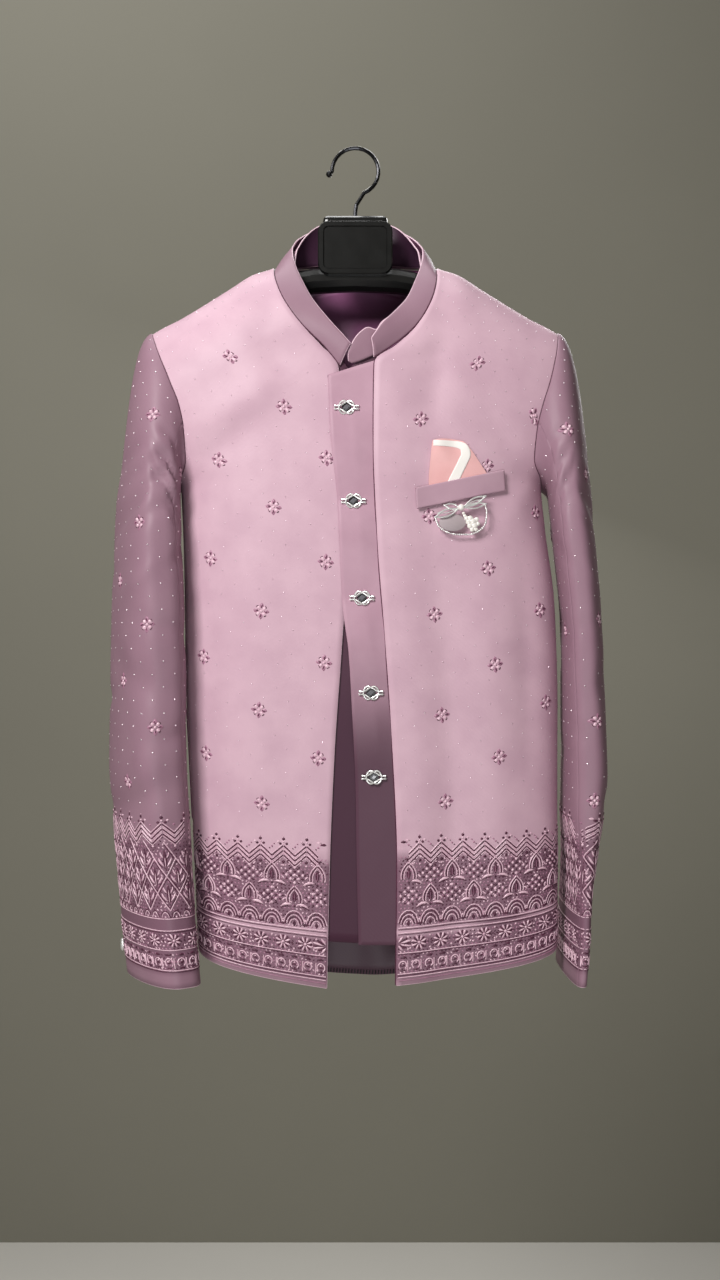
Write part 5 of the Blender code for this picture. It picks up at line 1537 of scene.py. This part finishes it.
def inner_front_panel(word):
    neck, side, _, sign = SIDES[word]
    edge = []
    for (row, x, z), (_, neck_x, neck_z) in zip(INNER_EDGE, neck):
        by_neck = (row, neck_x + sign * INNER_NECK_OUT, neck_z)
        edge.append(by_neck if row < ARMPIT_ROW else (row, x + sign * INNER_PARTING, z))
    side_rows = [(row, x, INNER_SIDE_HEM if row == LAST_ROW else z) for row, x, z in side]
    rows = np.linspace(INNER_FIRST_ROW, LAST_ROW, INNER_COUNTS[0])
    points = panel_grid(edge, side_rows, rows, np.linspace(0, INNER_REACH, INNER_COUNTS[1]), True)
    points = points - grid_normals(points, (0, -1, 0.3)) * INNER_DEPTH
    return points, grid_normals(points, (0, -1, 0.3))


def lining_panel():
    rows = np.linspace(LINING_FIRST_ROW, LAST_ROW, LINING_COUNTS[0])
    reach = np.linspace(0, LINING_REACH, LINING_COUNTS[1])
    points = both_halves([panel_grid(BACK_MIDDLE, side, rows, reach, False) for side in (RIGHT_SIDE,
                                                                                         LEFT_SIDE)])
    normal = grid_normals(points, (0, 1, 0.3))
    x = points[..., 0] - MIDDLE(points[..., 2])
    pleat = np.cos(x / PLEAT_PITCH) * np.exp(-(x / PLEAT_SPREAD) ** 2)
    most, length, least = PLEAT_FADE
    fall = np.clip((PLEAT_TOP - points[..., 2]) / PLEAT_RAMP, 0, 1) * np.clip(most + points[..., 2] / length,
                                                                              least, 1)
    points = points - normal * LINING_DEPTH
    points[..., 1] -= (PLEAT_STAND + PLEAT_DEPTH * pleat) * fall
    return points, grid_normals(points, (0, 1, 0.3))


def placket_panel():
    left = profile(PLACKET, PLACKET_COLUMNS, "height", "left")
    right = profile(PLACKET, PLACKET_COLUMNS, "height", "right")
    heights = np.linspace(PLACKET[0][0] * MM, PLACKET[-1][0] * MM, PLACKET_COUNTS[0])[:, None]
    share = np.linspace(0, 1, PLACKET_COUNTS[1])[None, :]
    x = left(heights) + (right(heights) - left(heights)) * share
    by_top = np.clip(1 - (PLACKET[0][0] * MM - heights) / PLACKET_TOP_FADE, 0, 1)
    z = heights + (PLACKET_TOP_RISE * share - PLACKET_TOP_DROP) * by_top
    pulled = np.zeros(x.shape)
    for across, height in zip(BUTTON_ACROSS, BUTTON_HEIGHTS):
        away = np.hypot((x - across * MM) / PULL_REACH[0], (z - height * MM) / PULL_REACH[1])
        pulled += PLACKET_PULL * np.exp(-away ** 2)
    between = np.interp(z, [height * MM for height in BUTTON_HEIGHTS[::-1]], range(len(BUTTON_HEIGHTS)))
    swell = PLACKET_SWELL * np.sin(math.pi * (between % 1) ** SWELL_POWER)
    swell = swell * np.clip((SWELL_END - share) / SWELL_FADE, 0, 1)
    y = body_y(x, z, True) - PLACKET_OUT - CLOTH + pulled - swell
    points = np.stack([x, y, z], axis=-1)
    return points, grid_normals(points, (0, -1, 0))


def fine_strip(base, top, belly, count):
    """A collar's points between lines brought to a finer count."""
    return strip(smooth_path(base, count), smooth_path(top, count), COLLAR_ACROSS, belly)


def outer_collar_panel():
    points = fine_strip(*collar_points(), COLLAR_BELLY, COLLAR_ALONG)
    return points, collar_normals(points)


def inner_collar_panel():
    base, top = collar_points()
    normal = collar_normals(strip(base, top, COLLAR_ROWS, COLLAR_BELLY))
    base = base - normal[-1] * INNER_COLLAR_BASE_IN
    top = top - normal[0] * INNER_COLLAR_TOP_IN + np.array([0, 0, INNER_COLLAR_RISE])
    tab = np.array(COLLAR_TAB, float) * MM
    base = np.concatenate([base[1:-1], tab[:, :3]])
    top = np.concatenate([top[1:-1], tab[:, 3:]])
    points = fine_strip(base, top, INNER_COLLAR_BELLY, COLLAR_ALONG)
    return points, collar_normals(points)


def welt_panel():
    ends = np.array(WELT, float) * MM
    share = np.linspace(0, 1, WELT_COUNTS[1])[None, :]
    rise = np.linspace(0, 1, WELT_COUNTS[0])[:, None]
    bottom = ends[0, :2] + (ends[1, :2] - ends[0, :2]) * share[..., None]
    top = ends[0, 2:] + (ends[1, 2:] - ends[0, 2:]) * share[..., None]
    flat = bottom + (top - bottom) * rise[..., None]
    x, z = flat[..., 0], flat[..., 1]
    points = np.stack([x, body_y(x, z, True) - WELT_OUT - CLOTH, z], axis=-1)
    points[..., 1] -= overlap_out(points)
    return points[::-1], grid_normals(points[::-1], (0, -1, 0))


def square_y(x, z, out=0.0):
    """The pocket square's surface, with its soft pleats by the pocket."""
    tucked = np.clip((z - SQUARE_TUCK) / TUCK_FADE, 0, 1)
    pleats = SQUARE_PLEAT * (1 + np.sin(x / PLEAT_LENGTHS[0] + z / PLEAT_LENGTHS[1])) * tucked
    points = np.stack([x, body_y(x, z, True) - SQUARE_OUT - LINING - pleats - out, z], axis=-1)
    points[..., 1] -= overlap_out(points)
    return points


def square_panel():
    low = profile(SQUARE, SQUARE_COLUMNS, "across", "bottom")
    high = profile(SQUARE, SQUARE_COLUMNS, "across", "top")
    x = np.linspace(SQUARE[0][0] * MM, SQUARE[-1][0] * MM, SQUARE_COUNTS[1])[None, :]
    share = np.linspace(0, 1, SQUARE_COUNTS[0])[:, None]
    z = high(x) + (low(x) - high(x)) * share
    points = square_y(x + 0 * share, z)
    return points, grid_normals(points, (0, -1, 0))


def square_band_panel():
    x, z, width = smooth_path(np.array(SQUARE_BAND) * MM, SQUARE_BAND_COUNTS[1]).T
    run = np.gradient(np.stack([x, z], axis=1), axis=0)
    side = unit(np.stack([-run[:, 1], run[:, 0]], axis=1))
    share = np.linspace(0.5, -0.5, SQUARE_BAND_COUNTS[0])[:, None]
    flat_x = x + side[:, 0] * width * share
    flat_z = z + side[:, 1] * width * share
    points = square_y(flat_x, flat_z, SQUARE_BAND_OUT)
    return points, grid_normals(points, (0, -1, 0))


def place_piece(obj, node):
    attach(obj, "root")
    if node:
        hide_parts(node)
    return obj


# A cloth's edges as rows and columns of its points.
EDGES = {
    "top": (0, slice(None)), "hem": (-1, slice(None)), "start": (slice(None), 0), "end": (slice(None), -1),
    "armhole": (slice(0, ARMHOLE_ROWS), -1),
}
# Each kind of edge: the cords along it, each with its side, radius, how far out it lies and look. The dark
# cords along the left front's edge, both placket edges and the outer collar's lower edge are painted shadow
# lines.
CORDS = {
    "front_right": (("hem", 0.75, 0, "piping"), ("start", 0.6, 0, "piping"), ("armhole", 0.5, 0.45, "dark")),
    "front_left": (("hem", 0.75, 0, "piping"), ("start", 1.6, -2.0, "dark"), ("armhole", 0.5, 0.45, "dark")),
    "hem": (("hem", 0.75, 0, "piping"),),
    "placket": (("start", 0.5, -0.3, "dark"), ("end", 0.5, 0, "dark")),
    "inner_collar": (("top", 0.85, 0, "piping"), ("start", 0.7, 0, "piping"), ("end", 0.7, 0, "piping")),
    "outer_collar": (("top", 0.85, 0, "piping"), ("start", 0.7, 0, "piping"), ("end", 0.7, 0, "piping"),
                     ("hem", 0.55, 1.0, "dark")),
    "welt": (("top", 0.5, 0, "piping"), ("hem", 0.45, 0, "dark"), ("start", 0.45, 0, "dark")),
}
# Shares of deeper tone: the darker ground in the borders of body and cuffs; painted shade over the sleeves
# and the outer collar, the inner collar and the welt; and painted shade on plain inner satin and lining, at
# rest, at its deepest, and the heights between which it deepens.
HEM_DEEP = 0.92
CUFF_DEEP = 0.95
SLEEVE_AND_COLLAR_SHADE = 0.72
INNER_COLLAR_SHADE = 0.52
WELT_SHADE = 0.32
INNER_FRONT_SHADE = (0.95, 1.0, 330, 200)
PLACKET_SHADE = (0.12, 0.92, 330, 170)
LINING_SHADE = (0.0, 0.95, 300, 140)
SLEEVE_SHIFT = 10.0


def add_cloth(node, panel, thickness, look, start=0.0, ground_and_shade=None, sewing=None, cords=None,
              more=(), inside=None):
    """Makes one cloth with its needlework and cords, and states its cut."""
    points, normals = panel
    chart = Chart(points, normals, start)
    cloth = shell(f"{node}_cloth", points, normals, thickness, LOOK[look], chart, ground_and_shade, LOOK.get(inside))
    place_piece(cloth, node)
    extra = list(more)
    if sewing is not None:
        work = Needlework(chart)
        sewing(work)
        extra.append(place_piece(work.made(f"{node}_embroidery"), None))
    for side, radius, out, tone in CORDS.get(cords, ()):
        path = points[EDGES[side]] - normals[EDGES[side]] * (thickness / 2 - out * MM)
        name = f"{node}_cord_{side}"
        cord = joined(name, [tube_mesh(name, path, radius * MM, resolution=2)], [LOOK[tone]])
        extra.append(place_piece(cord, None))


def sew_front(node):
    def sewing(work):
        sew_hem_border(work)
        sew_scatter(work, flower_places(work, node), *BODY_SEQUINS)
    return sewing


def sew_back(work):
    sew_hem_border(work)
    sew_scatter(work, even_places(work, BACK_FLOWERS), *BODY_SEQUINS)


def sew_sleeve(side, shift):
    def sewing(work):
        sew_cuff_border(work)
        flowers = flower_places(work, side) + behind(work, even_places(work, SLEEVE_FLOWERS, shift))
        sew_scatter(work, flowers, *SLEEVE_SEQUINS)
    return sewing


def add_lining():
    """The back lining, with dark overcast stitches over its hem on the face that shows."""
    points, normals = lining_panel()
    ticks = Needlework(Chart(points - normals * LINING, -normals, 0.5))
    place = [(x, TICK_HEIGHT) for x in np.arange(-TICK_REACH, TICK_REACH + 0.5, TICK_STEP)]
    ticks.sew(place, [(*TICK_STITCH, "tick")], fitted=False)
    stitches = place_piece(ticks.made("back_lining_overcast"), None)
    add_cloth("back_lining", (points, normals), LINING, "lining", 0.5,
              low_painted_shade(*LINING_SHADE),
              more=[stitches])


def add_cloths():
    hem_ground = tone_of(HEM_GROUND_TOP, HEM_PLAIN, HEM_DEEP)
    # The cuffs' border has its darker ground, and the rest of each sleeve an even painted shade.
    cuff_ground_and_shade = tone_of(CUFF_GROUND_TOP, CUFF_PLAIN, CUFF_DEEP, SLEEVE_AND_COLLAR_SHADE)
    for word in SIDES:
        front, sleeve = f"outer_front_{word}", f"sleeve_{word}"
        add_cloth(front, front_panel(word), CLOTH, "outer", 0.0, hem_ground, sew_front(front),
                  f"front_{word}", inside="lining")
        # The inner fronts are almost wholly in painted shade.
        add_cloth(f"inner_front_{word}", inner_front_panel(word), LINING, "inner",
                  ground_and_shade=low_painted_shade(*INNER_FRONT_SHADE), inside="lining")
        for piece, shift, carrier in (("topsleeve", SLEEVE_SHIFT, front),
                                      ("undersleeve", 0.0, f"topsleeve_{word}")):
            add_cloth(f"{piece}_{word}", sleeve_piece(piece, word), CLOTH, "outer", 0.5,
                      cuff_ground_and_shade, sew_sleeve(sleeve, shift), "hem", inside="lining")
    add_cloth("outer_back", back_panel(), CLOTH, "outer", 0.5, hem_ground, sew_back, "hem",
              inside="lining")
    add_lining()
    add_cloth("inner_placket", placket_panel(), CLOTH, "inner", 0.5,
              low_painted_shade(*PLACKET_SHADE), cords="placket")
    # The outer collar gets an even share of painted shade.
    add_cloth("outer_collar", outer_collar_panel(), COLLAR_CLOTH, "outer", 0.5,
              even_painted_shade(SLEEVE_AND_COLLAR_SHADE), cords="outer_collar", inside="lining")
    # The inner collar and the welt get an even share of painted shade.
    add_cloth("inner_collar", inner_collar_panel(), CLOTH, "inner", 0.5,
              even_painted_shade(INNER_COLLAR_SHADE), cords="inner_collar", inside="neck")
    add_cloth("pocket_welt", welt_panel(), CLOTH, "outer", 0.5,
              even_painted_shade(WELT_SHADE),
              cords="welt")
    points, normals = square_band_panel()
    band = shell("pocket_square_border", points, normals, SQUARE_BAND_CLOTH, LOOK["square_white"],
                 Chart(points, normals))
    place_piece(band, None)
    add_cloth("pocket_square", square_panel(), LINING, "square", 0.5, more=[band])


# Trims


def facing(x, z, out):
    """A place on the front and the turn about Z that faces it outwards."""
    step = FACING_STEP
    y = float(body_y(np.array(x), np.array(z), True)) - out
    slope = float(body_y(np.array(x + step), np.array(z), True) - body_y(np.array(x - step), np.array(z),
                                                                         True))
    return (x, y, z), math.atan2(slope, 2 * step)


def set_in_place(obj, place, turn):
    """Moves a piece's points to their place, so that the object itself stays at the origin."""
    c, s = math.cos(turn), math.sin(turn)
    for vert in obj.data.vertices:
        x, y, z = vert.co
        vert.co = (x * c - y * s + place[0], x * s + y * c + place[1], z + place[2])
    obj.data.update()


def knot_button(node, x, z, out):
    """A knot of two silver bights round a small grey diamond-shaped stone on a dark plate, a painted shadow
    round it.
    """
    parts = []
    flat = smooth_path(BIGHT, 73)
    radius, across, proud, up = KNOT_ENDS
    for sign in (-1, 1):
        path = np.stack([sign * flat[:, 0], -(KNOT_OUT + sign * flat[:, 2]), flat[:, 1]], axis=1) * MM
        parts.append((tube_mesh(node, path, KNOT_WIRE * MM, resolution=4), "silver"))
        for side in (-1, 1):
            parts.append((bead(radius, (sign * across, -proud, side * up)), "silver"))
    parts.append((turned(node, KNOT_SHADOW_PLATE, 32), "plate"))
    stone = bmesh.new()
    wide, deep, tall = (size * MM for size in EYE)
    rim = [stone.verts.new((a * wide, -EYE_FOOT * MM, b * tall)) for a, b in EYE_CORNERS]
    top = [stone.verts.new((a * wide * EYE_TOP, -deep, b * tall * EYE_TOP)) for a, b in EYE_CORNERS]
    for k in range(4):
        stone.faces.new((rim[k], rim[(k + 1) % 4], top[(k + 1) % 4], top[k]))
    stone.faces.new(top)
    stone.faces.new(rim[::-1])
    bmesh.ops.recalc_face_normals(stone, faces=stone.faces)
    parts.append((baked(stone, node), "stone"))
    obj = joined(f"{node}_knot", [mesh for mesh, _ in parts], [LOOK[look] for _, look in parts],
                 sharp=KNOT_SHARP)
    set_in_place(obj, *facing(x * MM, z * MM, out))
    place_piece(obj, node)


def turned(name, outline, steps):
    """A turned shape about the Y axis from radius and height pairs, closed at the middle."""
    shape = bmesh.new()
    loops = []
    for radius, height in outline:
        if radius == 0:
            loops.append([shape.verts.new((0, -height * MM, 0))])
            continue
        turns = [2 * math.pi * k / steps for k in range(steps)]
        loops.append([
            shape.verts.new((radius * MM * math.cos(turn), -height * MM, radius * MM * math.sin(turn)))
            for turn in turns
        ])
    for a, b in zip(loops, loops[1:]):
        for k in range(steps):
            after = (k + 1) % steps
            corners = [a[k % len(a)], a[after % len(a)], b[after % len(b)], b[k % len(b)]]
            shape.faces.new(list(dict.fromkeys(corners)))
    bmesh.ops.recalc_face_normals(shape, faces=shape.faces)
    return baked(shape, name)


def cuff_buttons():
    for word, (_, _, table, _) in SIDES.items():
        turn = CUFF_BUTTON_TURNS[word]
        ring = sleeve_ring(table, np.full(2, CUFF_BUTTON_HEIGHT), np.radians(np.array([turn, turn + 1.0])))
        along = ring[1] - ring[0]
        normal = unit(np.array([along[1], -along[0], 0]) * (1 if word == "right" else -1))
        away = ring[0] - np.array([float(table[-1][1]) * MM, float(table[-1][2]) * MM, ring[0][2]])
        if np.dot(normal, away) < 0:
            normal = -normal
        node = f"cuff_button_{word}"
        obj = joined(f"{node}_turned", [turned(node, CUFF_BUTTON_TURNING, 48)], [LOOK["silver"]])
        set_in_place(obj, ring[0] + normal * CUFF_BUTTON_OUT, math.atan2(normal[1], normal[0]) + math.pi / 2)
        place_piece(obj, node)


def bead(radius, place, squash=1.0, fineness=2):
    shape = bmesh.new()
    bmesh.ops.create_icosphere(shape, subdivisions=fineness, radius=radius * MM)
    for vert in shape.verts:
        vert.co.y *= squash
        vert.co += Vector(place) * MM
    return baked(shape, "bead")


def brooch():
    """A bow of pointed wire loops round a pearl, with a beaded chain, a smoked plate and some drops."""
    parts = []
    share = np.linspace(0, 2 * math.pi, 37)[:-1]
    for (reach, up), wide, wire in BOW_LOOPS:
        end = np.array([reach, up])
        start = BOW_START * end
        run = (end - start) / 2
        side = unit(np.array([-run[1], run[0]]))
        flat = (start + end) / 2 + np.cos(share)[:, None] * run + (np.sin(share) ** 3)[:, None] * side * wide
        path = np.stack([flat[:, 0], np.full(len(flat), -BOW_OUT), flat[:, 1]], axis=1) * MM
        parts.append((tube_mesh("bow", path, wire * MM, cyclic=True), "silver"))
    for number, (x, z) in enumerate(smooth_path(CHAIN, CHAIN_BEADS)):
        parts.append((bead(CHAIN_SIZES[1 if number % 3 else 0], (x, -CHAIN_OUT, z)), "silver"))
    for x, z, radius in DROP:
        parts.append((bead(DROP_SWELL * radius, (x, -BOW_OUT, z), DROP_SQUASH), "pearl"))
    x, z, half, deep = VEIL
    plate = turned("plate", VEIL_TURNING, 48)
    for vert in plate.vertices:
        vert.co = ((vert.co.x / MM * half + x) * MM, vert.co.y, (vert.co.z / MM * deep + z) * MM)
    parts += [(plate, "smoke"), (bead(*PEARL, 3), "pearl")]
    obj = joined("brooch_bow", [mesh for mesh, _ in parts], [LOOK[look] for _, look in parts])
    set_in_place(obj, *facing(BROOCH_AT[0] * MM, BROOCH_AT[1] * MM, WELT_OUT + CLOTH + BROOCH_OUT))
    place_piece(obj, "brooch")


def paint_kept():
    for node, look in (("hanger_arms", "hanger"), ("hanger_neck", "hanger"), ("hanger_plate", "hanger"),
                       ("hanger_hook", "hook")):
        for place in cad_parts[node].material_slots:
            place.material = LOOK[look]


# Stage, light and camera


def stage_plane(name, corners, colour):
    mesh = bpy.data.meshes.new(name)
    mesh.from_pydata(corners, [], [(0, 1, 2, 3)])
    made = new_material(name, colour, 0.9)
    mottle(made, colour, tuple(0.97 * value for value in colour), 1.5)
    mesh.materials.append(made)
    linked(name, mesh)


def area_light(name, place, aim, size, power, colour):
    data = bpy.data.lights.new(name, "AREA")
    data.shape = "RECTANGLE"
    data.size, data.size_y = size
    data.energy = power
    data.color = colour
    obj = linked(name, data)
    obj.location = place
    obj.rotation_euler = (Vector(aim) - Vector(place)).to_track_quat("-Z", "Y").to_euler()


def set_scene():
    far = STAGE_REACH
    stage_plane("floor", [(-far, -far, FLOOR_Z), (far, -far, FLOOR_Z), (far, WALL_Y, FLOOR_Z),
                          (-far, WALL_Y, FLOOR_Z)],
                FLOOR_COLOUR)
    stage_plane("backdrop", [(-far, WALL_Y, FLOOR_Z), (far, WALL_Y, FLOOR_Z), (far, WALL_Y, WALL_TOP),
                             (-far, WALL_Y, WALL_TOP)], WALL_COLOUR)
    for light in LIGHTS:
        area_light(*light)
    world = bpy.data.worlds.new("soft_world")
    bpy.context.scene.world = world
    world.use_nodes = True
    background = world.node_tree.nodes["Background"]
    background.inputs["Color"].default_value = (*WALL_COLOUR, 1)
    background.inputs["Strength"].default_value = WORLD_STRENGTH
    bpy.context.scene.view_settings.view_transform = "Standard"
    camera = bpy.data.cameras.new("camera")
    camera.sensor_fit = "VERTICAL"
    camera.sensor_height = CAMERA_SENSOR
    camera.lens = CAMERA_LENS
    camera.clip_start = CAMERA_CLIP
    holder = linked("camera", camera)
    holder.location = CAMERA_AT
    holder.rotation_euler = (math.pi / 2, 0, 0)
    bpy.context.scene.camera = holder


set_scene()
add_cloths()
for number, (x, z) in enumerate(zip(BUTTON_ACROSS, BUTTON_HEIGHTS), start=1):
    knot_button(f"placket_button_{number}", x, z, PLACKET_OUT + CLOTH + SEAM_GAP)
cuff_buttons()
brooch()
paint_kept()
